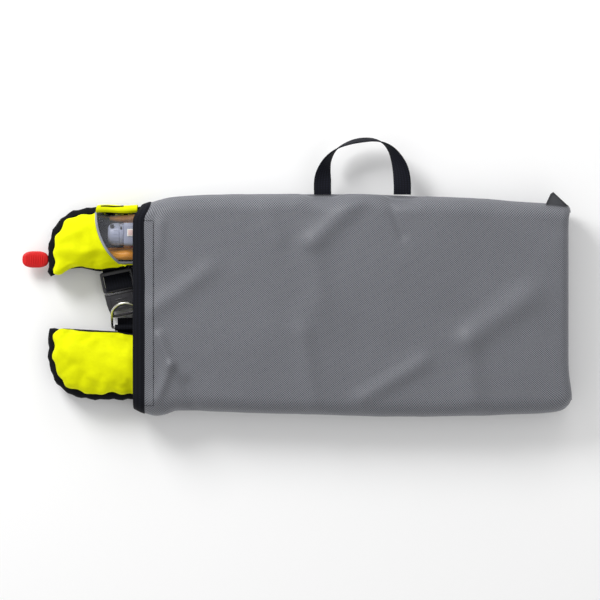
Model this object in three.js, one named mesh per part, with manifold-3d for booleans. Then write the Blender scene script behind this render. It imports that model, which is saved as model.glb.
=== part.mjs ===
// Inflatable life jacket lying in its stowage bag.
// Millimetres, +Z up. The bag lies flat on the ground, its mouth towards -X.
// The origin is under the middle of the bag, on the plane that it lies on.

import * as THREE from 'three';
import { mergeVertices } from 'three/addons/utils/BufferGeometryUtils.js';
import Module from 'manifold-3d';

const wasm = await Module();
wasm.setup();

// Fits
const gap = 0.35;               // between pieces that touch
const runningGap = 0.6;         // round a piece that slides or turns
const lidRoom = 10.4;           // height of the bag above the jacket
const curveSteps = 5;           // straight runs in each curved stretch of an outline

// Jacket cover
const jacketLength = 579;
const jacketHalfWidth = 144;
const jacketY = 4;
const tipsOut = 130;            // how far the tips stand out of the mouth
const neckTip = 41;             // half the gap between the tips
const neckHalf = 60;            // half the neck opening further in
const collarWidth = 85;
const tipRun = 75;              // length of the rounded tip
const coverThickness = 52;
const coverWall = 1.5;
const coverRound = 14;
const coverLow = 7.6;           // room for the straps under the cover
const bandWidth = 7;            // black edge seen outside the bright front
const collarSeam = 330;         // from the tips to the collar seams

// Bag
const bagLength = 656;
const mouthX = -328;
const bagWall = 1.6;
const bagRound = 22;
const mouthEase = 7;            // above the jacket at the mouth
const lowerEase = 15;           // below the jacket at the mouth
const topBulge = 17;
const lowerBulge = 11;
const endTopDrop = 24;
const endLowerDrop = 9;
const endDepth = 46;            // depth of the closed end's gusset
const lowerCorner = 25;         // cut corner at the closed end
const bindingWidth = 14;
const bindingThickness = 1.2;
const stripWidth = 18;          // hook and loop strips
const stripThickness = 1.2;
const earWidth = 37;
const earHeight = 22;
const earThickness = 10;

// Carry handle
const webWidth = 30;
const webThickness = 2.4;
const handleSpan = 148;
const handleReach = 85;
const handleX = 14;
const handleGap = 0.9;          // lets the foot of each leg turn beside the seam
const crownWidth = 13;

// Window in the upper front
const windowHalfLength = 75;
const windowHeight = 92;        // half height of the ellipse that the window is cut from
const windowCut = 68;           // from the ellipse's middle down to the straight edge
const windowDrop = 7;           // below the outer edge of the front
const pipingWidth = 3;

// Inflator
const inflatorFromTip = 114;    // tip to the joint between cap and body
const inflatorUp = 104;         // above the jacket's centre line
const capRadius = 16.5;
const capLength = 24;
const inflatorLength = 52;
const neckRadius = 7.8;
const neckLength = 12;
const cylinderRadius = 14;
const cylinderLength = 118;
const bobbinLength = 14;
const bobbinRadius = 8;
const pinRadius = 2.5;
const pinLength = 26;
const pinTravel = 5;
const leverArm = 25;
const leverWidth = 10;
const leverThickness = 3;
const leverPinRadius = 2;
const flangeRadius = 15;
const flangeThickness = 1.5;
const nutRadius = 9;

// Pull toggle
const toggleLength = 40;
const toggleWidth = 25;
const toggleThickness = 8;
const lanyardRadius = 1.5;

// Oral tube and whistle
const tubeRadius = 6.5;
const tubeBore = 4.2;
const tubeRun = 90;
const oralFromTip = 288;
const oralDown = 97;
const oralFlangeRadius = 18;
const whistleRadius = 6.5;
const whistleLength = 42;

// Belt
const beltWidth = 40;
const beltThickness = 1.6;
const beltLift = 11.3;          // of the webbing between the buckle and the lower lobe
const beltEdge = 134;           // jacket's centre line to the outer edge of the belt under each lobe
const rearBeltFromTip = 338;
const backStrapEnd = 528;
const patchSize = 60;
const sliderLength = 24;
const sliderWall = 1.4;

// Buckle
const buckleFromTip = 100;
const buckleUp = 50;
const buckleTilt = THREE.MathUtils.degToRad(12);
const buckleZ = 16;
const frameSide = 5;            // of the frame beside the webbing
const frameLength = 32;
const frameThickness = 7;
const slotLength = 18;
const slotInset = 6;
const housingLength = 37;
const housingThickness = 13;
const housingWall = 2;
const prongReach = 21;
const prongWidth = 5;

// D-ring
const ringHalfWidth = 24;
const ringWire = 4;
const ringFromTip = 117;
const ringBarDown = 37;
const ringTilt = THREE.MathUtils.degToRad(35);
const ringBarZ = 15.4;
const ringStraight = 24;        // sides of the D, from the bar to its bow

// Places that follow from the sizes above
const frameWidth = beltWidth + 2 * frameSide;
const jacketTipX = mouthX - tipsOut;
const coverHigh = coverLow + coverThickness;
const coverMid = coverLow + coverThickness / 2;
const bagThickness = coverHigh + lidRoom;
const bagMid = bagThickness / 2;
const bagEndX = mouthX + bagLength;
const mouthTop = jacketY + jacketHalfWidth + mouthEase;
const mouthLower = jacketY - jacketHalfWidth - lowerEase;
const strapTop = coverLow - gap;
const strapMid = strapTop - beltThickness / 2;
const inflatorX = jacketTipX + inflatorFromTip;
const inflatorY = jacketY + inflatorUp;
const inflatorZ = coverHigh - coverWall - 3 - capRadius;
const leverTop = inflatorZ - capRadius - runningGap;
const leverMid = leverTop - leverThickness / 2;
const leverPivotX = inflatorX + 14;
const leverPivotY = inflatorY - 6;
const leverTipY = leverPivotY - leverArm;
const lanyardY = leverTipY - leverWidth / 2 - lanyardRadius - gap;
const bladderLow = coverLow + coverWall + 0.5;
const bladderHigh = leverTop - leverThickness - runningGap;
const manifoldX = inflatorX + inflatorLength - 14;

// Materials
function finish(colour, roughness, metalness = 0) {
  return new THREE.MeshStandardMaterial({ color: colour, roughness, metalness });
}
const greyMesh = finish(0x76777b, 0.75);
const blackWeb = finish(0x1b1c22, 0.8);
const brightYellow = finish(0xf2f60f, 0.65);
const blackCloth = finish(0x1d1d24, 0.85);
const clearFilm = finish(0xd8dde0, 0.15);
const piping = finish(0x7d7f86, 0.6);
const orangeCloth = finish(0xe07c12, 0.6);
const greyPlastic = finish(0x9aa0b2, 0.45);
const blackPlastic = finish(0x2c2b31, 0.4);
const redPlastic = finish(0xd33431, 0.35);
const steel = finish(0xc9c7bd, 0.25, 1);
const greenPlastic = finish(0x3a9a52, 0.4);
const zincSteel = finish(0x9b9da0, 0.35, 1);

// Geometry to solid and back
function solidOf(geometry) {
  const bare = geometry.clone();
  bare.deleteAttribute('normal');
  bare.deleteAttribute('uv');
  const merged = mergeVertices(bare, 1e-4);
  const vertProperties = new Float32Array(merged.attributes.position.array);
  const triVerts = new Uint32Array(merged.index.array);
  return new wasm.Manifold(new wasm.Mesh({ numProp: 3, vertProperties, triVerts }));
}

function geometryOf(solid) {
  const mesh = solid.getMesh();
  const geometry = new THREE.BufferGeometry();
  geometry.setAttribute('position', new THREE.BufferAttribute(mesh.vertProperties, 3));
  geometry.setIndex(new THREE.BufferAttribute(mesh.triVerts, 1));
  return geometry;
}

function block(low, high) {
  const size = high.map((value, i) => value - low[i]);
  const box = new THREE.BoxGeometry(...size);
  box.translate(...low.map((value, i) => value + size[i] / 2));
  return box;
}

// A round bar along x, y or z, centred on a point
function bar(axis, centre, radius, length, sides = 16) {
  const cylinder = new THREE.CylinderGeometry(radius, radius, length, sides);
  if (axis === 'x') cylinder.rotateZ(Math.PI / 2);
  if (axis === 'z') cylinder.rotateX(Math.PI / 2);
  cylinder.translate(...centre);
  return cylinder;
}

// A turned piece along +X from a profile of [x, radius] pairs
function turned(profile, centre, sides = 20) {
  const points = profile.map(([x, radius]) => new THREE.Vector2(radius, x));
  const lathe = new THREE.LatheGeometry(points, sides);
  lathe.rotateZ(-Math.PI / 2);
  lathe.translate(...centre);
  return lathe;
}

// A flat plate of an outline between two heights
function plate(outline, low, high, segments = 5) {
  const options = { depth: high - low, bevelEnabled: false, curveSegments: segments };
  const geometry = new THREE.ExtrudeGeometry(outline, options);
  geometry.translate(0, 0, low);
  return geometry;
}

// A plate whose edges are rounded in plan by edge, within the outline less inset
function slab(outline, low, high, inset, edge, segments = 5) {
  const options = {
    depth: high - low - 2 * edge,
    bevelSize: edge,
    bevelThickness: edge,
    bevelOffset: -inset - edge,
    bevelSegments: 2,
    curveSegments: segments,
  };
  const geometry = new THREE.ExtrudeGeometry(outline, options);
  geometry.translate(0, 0, low + edge);
  return geometry;
}

// A soft crowned body: flat above and below, with full rounded sides
function pillow(outline, low, high, round, grow = 0) {
  const flat = 4;
  const crown = (high - low - flat) / 2;
  const options = {
    depth: flat,
    bevelSize: round + grow,
    bevelThickness: crown + grow,
    bevelOffset: -round,
    bevelSegments: 4,
    curveSegments: curveSteps,
  };
  const geometry = new THREE.ExtrudeGeometry(outline, options);
  geometry.translate(0, 0, (low + high - flat) / 2);
  return geometry;
}

function roundedRectangle(x0, y0, x1, y1, radius) {
  const shape = new THREE.Shape();
  shape.moveTo(x0 + radius, y0);
  shape.lineTo(x1 - radius, y0);
  shape.quadraticCurveTo(x1, y0, x1, y0 + radius);
  shape.lineTo(x1, y1 - radius);
  shape.quadraticCurveTo(x1, y1, x1 - radius, y1);
  shape.lineTo(x0 + radius, y1);
  shape.quadraticCurveTo(x0, y1, x0, y1 - radius);
  shape.lineTo(x0, y0 + radius);
  shape.quadraticCurveTo(x0, y0, x0 + radius, y0);
  return shape;
}

// Webbing that follows [y, z] points, with its width along x
function webbing(points, width, centreX) {
  const upper = [];
  const lower = [];
  points.forEach(([y, z], i) => {
    const before = points[Math.max(i - 1, 0)];
    const after = points[Math.min(i + 1, points.length - 1)];
    const along = new THREE.Vector2(after[0] - before[0], after[1] - before[1]).normalize();
    const half = beltThickness / 2;
    upper.push(new THREE.Vector2(y - along.y * half, z + along.x * half));
    lower.unshift(new THREE.Vector2(y + along.y * half, z - along.x * half));
  });
  const section = new THREE.Shape([...upper, ...lower]);
  const ribbon = new THREE.ExtrudeGeometry(section, { depth: width, bevelEnabled: false });
  // section x, y and depth become world y, z and x
  const turn = new THREE.Matrix4().makeBasis(
    new THREE.Vector3(0, 1, 0),
    new THREE.Vector3(0, 0, 1),
    new THREE.Vector3(1, 0, 0),
  );
  ribbon.applyMatrix4(turn);
  ribbon.translate(centreX - width / 2, 0, 0);
  return ribbon;
}

function shapeAlongX(shape, x0, x1) {
  const geometry = new THREE.ExtrudeGeometry(shape, {
    depth: x1 - x0,
    bevelEnabled: false,
    curveSegments: 4,
  });
  geometry.applyMatrix4(new THREE.Matrix4().makeBasis(
    new THREE.Vector3(0, 1, 0),
    new THREE.Vector3(0, 0, 1),
    new THREE.Vector3(1, 0, 0),
  ));
  geometry.translate(x0, 0, 0);
  return geometry;
}

const model = new THREE.Group();
model.name = 'life_jacket_in_bag';

function add(name, piece, material, parent = model) {
  const geometry = piece.isBufferGeometry ? piece : geometryOf(piece);
  const mesh = new THREE.Mesh(geometry, material.clone());
  mesh.name = name;
  parent.add(mesh);
  return mesh;
}

// Outline of the bag in plan, carried on past the mouth so that the mouth is cut square
function bagOutline() {
  const past = mouthX - 3 * bagRound;
  const top = mouthTop + topBulge;
  const low = mouthLower - lowerBulge;
  const endTop = top - endTopDrop;
  const endLow = low + endLowerDrop;
  const shape = new THREE.Shape();
  shape.moveTo(past, mouthTop);
  shape.lineTo(mouthX, mouthTop);
  shape.bezierCurveTo(mouthX + 90, top, mouthX + 0.5 * bagLength, top, bagEndX - 50, endTop + 5);
  shape.lineTo(bagEndX - 6, endTop);
  shape.lineTo(bagEndX, endLow + 1.3 * lowerCorner);
  shape.lineTo(bagEndX - lowerCorner, endLow);
  const third = 0.4 * bagLength;
  shape.bezierCurveTo(bagEndX - third, low - 2, mouthX + third, low, mouthX, mouthLower);
  shape.lineTo(past, mouthLower);
  return shape;
}

function bagSolid(grow) {
  return solidOf(pillow(bagOutline(), 0, bagThickness, bagRound, grow));
}

function far(low, high) {
  const reach = 2000;
  return solidOf(block(
    low.map((value) => value ?? -reach),
    high.map((value) => value ?? reach),
  ));
}

function buildBag() {
  const gussetX = bagEndX - endDepth;
  const shell = bagSolid(0).subtract(bagSolid(-bagWall));
  const sides = shell.intersect(far([mouthX, null, null], [gussetX - gap, null, null]));
  add('bag_front_panel', sides.intersect(far([null, null, bagMid + gap / 2], [null, null, null])), greyMesh);
  add('bag_back_panel', sides.intersect(far([null, null, null], [null, null, bagMid - gap / 2])), greyMesh);

  // The end gusset, with the folded corner that stands out as an ear
  const earX = bagEndX - 6 - earWidth;
  const earY = mouthTop + topBulge - endTopDrop - 1;
  const ear = new THREE.Shape();
  ear.moveTo(earX, earY);
  ear.lineTo(earX + 0.3 * earWidth, earY + earHeight);
  ear.lineTo(bagEndX - 7, earY);
  const earSolid = solidOf(plate(ear, bagMid - earThickness / 2, bagMid + earThickness / 2));
  const gusset = shell.intersect(far([gussetX, null, null], [null, null, null]));
  add('bag_end_gusset', gusset.add(earSolid.subtract(bagSolid(-bagWall))), greyMesh);

  // Binding folded over the mouth's edge, inside and out
  const lip = bindingThickness + gap;
  const ring = bagSolid(lip).subtract(bagSolid(-bagWall - lip))
    .intersect(far([mouthX - lip, null, 0], [mouthX + bindingWidth, null, null]));
  const edge = bagSolid(gap).subtract(bagSolid(-bagWall - gap))
    .intersect(far([mouthX - gap, null, null], [mouthX + bindingWidth + 1, null, null]));
  add('bag_mouth_binding', ring.subtract(edge), blackWeb);

  // Hook strip inside the front panel and loop strip inside the back panel
  const stripX = mouthX + bindingWidth + 1;
  const stripY = (mouthTop + mouthLower) / 2;
  const stripLength = mouthTop - mouthLower - 2 * bagRound - 4;
  const strips = {
    hook_strip: bagThickness - bagWall - gap - stripThickness,
    loop_strip: bagWall + gap,
  };
  for (const [name, low] of Object.entries(strips)) {
    const shape = roundedRectangle(
      stripX, stripY - stripLength / 2, stripX + stripWidth, stripY + stripLength / 2, 2);
    add(name, plate(shape, low, low + stripThickness, 2), blackCloth);
  }
}

// Height of the bag's upper edge at a place along it
function bagTopAt(x) {
  const points = bagOutline().getPoints(curveSteps);
  const next = points.findIndex((point) => point.x > x);
  const [a, b] = [points[next - 1], points[next]];
  return a.y + ((b.y - a.y) * (x - a.x)) / (b.x - a.x);
}

// Two flat legs that narrow into a grip folded in half
function buildHandle() {
  const left = handleX - handleSpan / 2;
  const right = handleX + handleSpan / 2;
  const leftRoot = bagTopAt(left) + handleGap;
  const root = bagTopAt(handleX) + handleGap;
  const rightRoot = bagTopAt(right - webWidth) + handleGap;
  const crown = root + handleReach;
  const grip = crown - crownWidth;
  const shape = new THREE.Shape();
  shape.moveTo(left, leftRoot);
  shape.bezierCurveTo(left, root + 0.58 * handleReach, handleX - 45, crown, handleX, crown);
  shape.bezierCurveTo(handleX + 45, crown, right, root + 0.66 * handleReach, right, rightRoot);
  shape.lineTo(right - webWidth, rightRoot);
  const middle = root + 0.5 * handleReach;
  shape.bezierCurveTo(right - webWidth, middle, handleX + 26, grip, handleX, grip);
  shape.bezierCurveTo(handleX - 22, grip, left + webWidth, middle, left + webWidth, leftRoot);
  add('carry_handle', plate(shape, bagMid - webThickness / 2, bagMid + webThickness / 2, 7), blackWeb);
}

// Horseshoe outline in plan; trim pulls in the outer edge and leaves the neck edge
function jacketOutline(trim) {
  const width = jacketHalfWidth - trim;
  const shoulder = 0.6 * jacketHalfWidth;
  const endRun = 150;
  const neckRun = 94;
  const neckEnd = jacketLength - collarWidth;
  const widenAt = 200;
  const shape = new THREE.Shape();
  const at = (x, y) => [jacketTipX + x, jacketY + y];
  shape.moveTo(...at(trim, neckTip));
  shape.lineTo(...at(trim, shoulder));
  shape.bezierCurveTo(...at(trim + 5, 0.9 * width), ...at(0.45 * tipRun, width), ...at(tipRun, width));
  shape.lineTo(...at(jacketLength - endRun, width));
  shape.absellipse(...at(jacketLength - endRun, 0), endRun - trim, width, Math.PI / 2, -Math.PI / 2, true);
  shape.lineTo(...at(tipRun, -width));
  shape.bezierCurveTo(...at(0.45 * tipRun, -width), ...at(trim + 5, -0.9 * width), ...at(trim, -shoulder));
  shape.lineTo(...at(trim, -neckTip + 3));
  shape.lineTo(...at(110, -neckTip - 3));
  shape.lineTo(...at(widenAt, -neckHalf));
  shape.lineTo(...at(neckEnd - neckRun, -neckHalf));
  shape.absellipse(...at(neckEnd - neckRun, 0), neckRun, neckHalf, -Math.PI / 2, Math.PI / 2, false);
  shape.lineTo(...at(widenAt, neckHalf));
  shape.lineTo(...at(tipRun + 50, neckTip + 15.5));
  shape.lineTo(...at(tipRun, neckTip + 8));
  shape.lineTo(...at(0.65 * tipRun, neckTip + 14));
  shape.lineTo(...at(0.4 * tipRun + trim, neckTip + 12));
  return shape;
}

function jacketSolid(trim, grow) {
  return solidOf(pillow(jacketOutline(trim), coverLow, coverHigh, coverRound, grow));
}

// Half ellipse with a flat top, cut straight at the neck side
function windowPrism(grow) {
  const centreX = jacketTipX + tipRun - 2 + windowHalfLength;
  const level = jacketY + jacketHalfWidth - bandWidth - windowDrop;
  const top = level + grow;
  const bottom = level - windowCut - grow;
  const rx = windowHalfLength + grow;
  const ry = windowHeight + grow;
  const cut = Math.asin(Math.min((top - bottom) / ry, 1));
  const shape = new THREE.Shape();
  shape.absellipse(centreX, top, rx, ry, -Math.PI, -Math.PI + cut, false);
  shape.lineTo(centreX + rx * Math.cos(cut), bottom);
  shape.absellipse(centreX, top, rx, ry, -cut, 0, false);
  return solidOf(plate(shape, coverMid, coverHigh + 5));
}

function buildCover() {
  const seamX = jacketTipX + collarSeam;
  const cavity = jacketSolid(bandWidth, -coverWall);
  const front = jacketSolid(bandWidth, 0).subtract(cavity)
    .intersect(far([null, null, coverMid + gap / 2], [null, null, null]));
  const lobes = front.intersect(far([null, null, null], [seamX - gap, null, null]));
  const upper = lobes.intersect(far([null, jacketY, null], [null, null, null]));
  const lower = lobes.intersect(far([null, null, null], [null, jacketY, null]));
  add('cover_upper_lobe', upper.subtract(windowPrism(pipingWidth)), brightYellow);
  add('cover_lower_lobe', lower, brightYellow);
  add('cover_collar', front.intersect(far([seamX, null, null], [null, null, null])), brightYellow);
  const pipe = windowPrism(pipingWidth - gap).subtract(windowPrism(0));
  add('window_piping', upper.intersect(pipe), piping);
  add('window_pane', upper.intersect(windowPrism(-gap)), clearFilm);

  // Back of the cover, with a hole at the upper tip for the pull lanyard
  const lanyardHole = bar('x', [jacketTipX + 10, lanyardY, leverMid], lanyardRadius + 1, 60, 10);
  const back = jacketSolid(0, 0).subtract(cavity)
    .intersect(far([null, null, null], [null, null, coverMid - gap / 2]));
  add('cover_back', back.subtract(solidOf(lanyardHole)), blackCloth);

  // Tab that closes the cover over its outer edge
  const tabX = jacketTipX + tipRun;
  const tab = jacketSolid(0, gap + beltThickness).subtract(jacketSolid(0, gap))
    .intersect(far([tabX, jacketY, coverMid - 10], [tabX + 62, null, coverMid + 16]));
  const outside = far([null, jacketY + jacketHalfWidth - coverRound, null], [null, null, null]);
  add('closure_tab', tab.intersect(outside), brightYellow);
}

function buildBladder() {
  const inset = coverRound - 2;
  add('bladder', slab(jacketOutline(bandWidth), bladderLow, bladderHigh, inset, 2), orangeCloth);
}

function buildInflator() {
  const axis = [0, inflatorY, inflatorZ];
  const bodyX = inflatorX + gap;
  const bodyEnd = inflatorX + inflatorLength;
  const halfBody = capRadius + 0.5;
  const section = roundedRectangle(
    inflatorY - halfBody, inflatorZ - capRadius, inflatorY + halfBody, inflatorZ + capRadius, 6);
  const neckHole = bar('x', [bodyEnd, ...axis.slice(1)], neckRadius + runningGap, 2 * neckLength + 4, 20);
  const pinEnd = bodyEnd - neckLength - pinTravel - 2;
  const holeStart = pinEnd - pinLength - 1;
  const holeLength = bodyEnd - neckLength - holeStart;
  const pinHoleCentre = [holeStart + holeLength / 2, ...axis.slice(1)];
  const pinHole = bar('x', pinHoleCentre, pinRadius + runningGap, holeLength, 12);
  const pivotHole = bar('z', [leverPivotX, leverPivotY, leverTop + 4], leverPinRadius + gap, 10, 12);
  const body = solidOf(shapeAlongX(section, bodyX, bodyEnd))
    .subtract(solidOf(neckHole))
    .subtract(solidOf(pinHole))
    .subtract(solidOf(pivotHole));
  add('inflator_body', body, greyPlastic);

  // Cap over the water sensor, open towards the body
  const r = capRadius;
  add('sensor_cap', turned([
    [-capLength, 0], [-capLength, 0.55 * r], [-capLength + 3, 0.85 * r], [-capLength + 8, r],
    [0, r], [0, r - 3], [-capLength + 8, r - 4], [-capLength + 4, 0],
  ], [inflatorX, ...axis.slice(1)]), greyPlastic);
  const bobbinCentre = [inflatorX - bobbinLength / 2, ...axis.slice(1)];
  add('sensor_bobbin', bar('x', bobbinCentre, bobbinRadius, bobbinLength, 14), finish(0xf2f0e6, 0.6));

  // Firing pin, its point towards the gas cylinder
  add('firing_pin', turned([
    [-pinLength, 0], [-pinLength, pinRadius], [-5, pinRadius], [0, 0.4], [0, 0],
  ], [pinEnd, ...axis.slice(1)], 10), steel);

  // Gas cylinder with its neck in the body
  const c = cylinderRadius;
  add('co2_cylinder', turned([
    [-neckLength, 0], [-neckLength, neckRadius], [runningGap, neckRadius], [6, neckRadius + 1], [16, c],
    [cylinderLength - 14, c], [cylinderLength - 4, 0.75 * c], [cylinderLength, 0.3 * c], [cylinderLength, 0],
  ], [bodyEnd, ...axis.slice(1)]), zincSteel);

  // Lever under the body, its pivot pin and the tip that the lanyard pulls
  const lever = roundedRectangle(
    leverPivotX - leverWidth / 2, leverTipY - leverWidth / 2,
    leverPivotX + leverWidth / 2, leverPivotY + leverWidth / 2, 4.5);
  const leverHole = bar('z', [leverPivotX, leverPivotY, leverMid], leverPinRadius + gap, 10, 12);
  const leverSolid = solidOf(plate(lever, leverTop - leverThickness, leverTop)).subtract(solidOf(leverHole));
  add('firing_lever', leverSolid, redPlastic);
  const pinTop = leverTop + 4 + 5 - gap;
  const pinLow = leverTop - leverThickness;
  const pinCentre = [leverPivotX, leverPivotY, (pinTop + pinLow) / 2];
  add('lever_pin', bar('z', pinCentre, leverPinRadius, pinTop - pinLow, 10), steel);

  // Manifold between bladder and body, its nut on top, and the status indicator
  const bodyLow = inflatorZ - capRadius;
  const bodyHigh = inflatorZ + capRadius;
  const flangeLow = bladderHigh + gap;
  const manifold = solidOf(bar('z', [manifoldX, inflatorY, flangeLow + flangeThickness / 2],
    flangeRadius, flangeThickness, 20));
  const stemHeight = bodyLow - gap - flangeLow;
  const stem = solidOf(bar('z', [manifoldX, inflatorY, flangeLow + stemHeight / 2], 6, stemHeight, 12));
  add('bladder_manifold', manifold.add(stem), blackPlastic);
  add('manifold_nut', bar('z', [manifoldX, inflatorY, bodyHigh + gap + 1.1], nutRadius, 2.2, 6), steel);
  const dot = bodyHigh + gap;
  const indicator = block([inflatorX + 7, inflatorY - 2, dot], [inflatorX + 15, inflatorY + 6, dot + 1]);
  add('status_indicator', indicator, greenPlastic);
}

// Ribbed grip at the tip, and the lanyard that runs to the lever
function buildPull() {
  const right = jacketTipX - runningGap;
  const low = leverMid - toggleThickness / 2;
  const outline = roundedRectangle(
    right - toggleLength, lanyardY - toggleWidth / 2, right, lanyardY + toggleWidth / 2, 0.42 * toggleWidth);
  add('pull_toggle', slab(outline, low, low + toggleThickness, 0, 2), redPlastic);
  const lanyardEnd = leverPivotX;
  const lanyardStart = right + gap;
  const middle = (lanyardStart + lanyardEnd) / 2;
  add('pull_lanyard', bar('x', [middle, lanyardY, leverMid], lanyardRadius, lanyardEnd - lanyardStart, 8),
    redPlastic);
}

function buildOralTube() {
  const x = jacketTipX + oralFromTip;
  const y = jacketY - oralDown;
  const low = bladderHigh + gap;
  const start = low + flangeThickness + gap;
  const height = start + 15;
  const flangeCentre = [x, y, low + flangeThickness / 2];
  add('oral_flange', bar('z', flangeCentre, oralFlangeRadius, flangeThickness, 20), blackPlastic);
  const path = new THREE.CurvePath();
  const foot = new THREE.Vector3(x, y, start);
  const bend = new THREE.Vector3(x, y, start + 3);
  const level = new THREE.Vector3(x - 14, y, height);
  path.add(new THREE.LineCurve3(foot, bend));
  path.add(new THREE.QuadraticBezierCurve3(bend, new THREE.Vector3(x, y, height), level));
  path.add(new THREE.LineCurve3(level, new THREE.Vector3(x - tubeRun, y, height)));
  const ring = new THREE.Shape();
  ring.absarc(0, 0, tubeRadius, 0, 2 * Math.PI);
  const bore = new THREE.Path();
  bore.absarc(0, 0, tubeBore, 0, 2 * Math.PI);
  ring.holes.push(bore);
  add('oral_tube', new THREE.ExtrudeGeometry(ring, {
    steps: 9, curveSegments: 6, bevelEnabled: false, extrudePath: path,
  }), blackPlastic);
  const endX = x - tubeRun;
  add('oral_valve', bar('x', [endX + 6, y, height], tubeBore - gap - 0.1, 10, 10), orangeCloth);
  const inner = tubeRadius + gap;
  const outer = inner + 1.6;
  add('dust_cap', turned([
    [-4, 0], [-4, outer - 2], [-2, outer], [9, outer], [9, inner], [-1, inner], [-1, 0],
  ], [endX, y, height], 16), blackPlastic);

  // Whistle beside the tube, on its own cord
  const whistleY = y + tubeRadius + whistleRadius + 12;
  const whistleZ = bladderHigh + gap + whistleRadius;
  const whistleX = x - 60;
  const whistle = solidOf(bar('x', [whistleX, whistleY, whistleZ], whistleRadius, whistleLength, 14))
    .subtract(solidOf(bar('x', [whistleX - 6, whistleY, whistleZ], whistleRadius - 2, whistleLength, 12)))
    .subtract(solidOf(block(
      [whistleX - 6, whistleY - 3, whistleZ], [whistleX + 2, whistleY + 3, whistleZ + whistleRadius + 1])));
  add('whistle', whistle, finish(0xe8842a, 0.4));
  const cordX = whistleX + whistleLength / 2 + gap;
  const cordEnd = y + tubeRadius + 1 + gap;
  const cord = new THREE.CubicBezierCurve3(
    new THREE.Vector3(cordX, whistleY, whistleZ),
    new THREE.Vector3(cordX + 12, whistleY, whistleZ),
    new THREE.Vector3(cordX + 10, cordEnd + 6, height),
    new THREE.Vector3(cordX + 5, cordEnd, height));
  const strand = new THREE.Shape();
  strand.absarc(0, 0, 1, 0, 2 * Math.PI);
  add('whistle_cord', new THREE.ExtrudeGeometry(strand, {
    steps: 8, curveSegments: 4, bevelEnabled: false, extrudePath: cord,
  }), blackWeb);
}

// Frame with a web slot, two sprung prongs, and the housing that they catch in
function buildBuckle() {
  const buckle = new THREE.Group();
  buckle.position.set(jacketTipX + buckleFromTip, jacketY + buckleUp, 0);
  buckle.rotation.z = buckleTilt;
  model.add(buckle);
  const half = frameWidth / 2;
  const low = buckleZ - frameThickness / 2;
  const high = buckleZ + frameThickness / 2;
  const frame = roundedRectangle(-half, -frameLength, half, 0, 4);
  frame.holes.push(roundedRectangle(
    -beltWidth / 2 - 0.8, -slotInset - slotLength, beltWidth / 2 + 0.8, -slotInset, 1.5));
  const tongue = solidOf(block(
    [-4, -frameLength - prongReach + 4, buckleZ - 2],
    [4, -frameLength + 3, buckleZ + 2]));
  add('buckle_male', solidOf(slab(frame, low, high, 0, 1.2, 3)).add(tongue), blackPlastic, buckle);

  for (const [name, side] of [['buckle_prong_left', -1], ['buckle_prong_right', 1]]) {
    const rootX = side * (half - 11);
    const tipX = side * (half - 8.5);
    const prong = new THREE.Shape();
    const y0 = -frameLength - runningGap;
    prong.moveTo(rootX - prongWidth / 2, y0);
    prong.lineTo(rootX + prongWidth / 2, y0);
    prong.lineTo(tipX + prongWidth / 2 + (side > 0 ? 1.2 : 0), y0 - 0.6 * prongReach);
    prong.lineTo(tipX, y0 - prongReach);
    prong.lineTo(tipX - prongWidth / 2 - (side < 0 ? 1.2 : 0), y0 - 0.6 * prongReach);
    add(name, plate(prong, buckleZ - 2, buckleZ + 2), blackPlastic, buckle);
  }

  // Housing: hollow from its upper end, open at both sides, with a web slot at its lower end
  const top = -frameLength - 2 * gap;
  const bottom = top - housingLength;
  const outer = new THREE.Shape();
  outer.moveTo(-half + 1, top);
  outer.lineTo(half - 1, top);
  outer.lineTo(half - 1.5, top - 16);
  outer.quadraticCurveTo(half - 4, bottom, half - 8, bottom);
  outer.lineTo(-half + 8, bottom);
  outer.quadraticCurveTo(-half + 4, bottom, -half + 1.5, top - 16);
  const zLow = buckleZ - housingThickness / 2;
  const zHigh = buckleZ + housingThickness / 2;
  const hollow = block(
    [-half + 1 + housingWall, top - prongReach - 3, zLow + housingWall],
    [half - 1 - housingWall, top + 1, zHigh - housingWall]);
  const sideOpening = block([-half - 2, top - 19, buckleZ - 3.5], [half + 2, top - 7, buckleZ + 3.5]);
  const webSlot = block([-half + 9, bottom + 4, zLow - 1], [half - 9, bottom + 9, zHigh + 1]);
  const housing = solidOf(slab(outer, zLow, zHigh, 0, 1.5, 4))
    .subtract(solidOf(hollow))
    .subtract(solidOf(sideOpening))
    .subtract(solidOf(webSlot));
  add('buckle_female', housing, blackPlastic, buckle);

  // Webbing from under the upper lobe, up through the frame's slot and over its lower bar
  const slotTop = -slotInset;
  const slotLow = -slotInset - slotLength;
  add('belt_upper', webbing([
    [39, strapMid],
    [12, strapMid],
    [2, strapMid + 1],
    [slotTop - 1, low - 2],
    [slotTop - 5, low + 0.5],
    [slotLow + 3, high],
    [slotLow - 1, high + 1.6],
    [-frameLength + 1, high + 1.6],
  ], beltWidth, 0), blackWeb, buckle);
}

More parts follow.
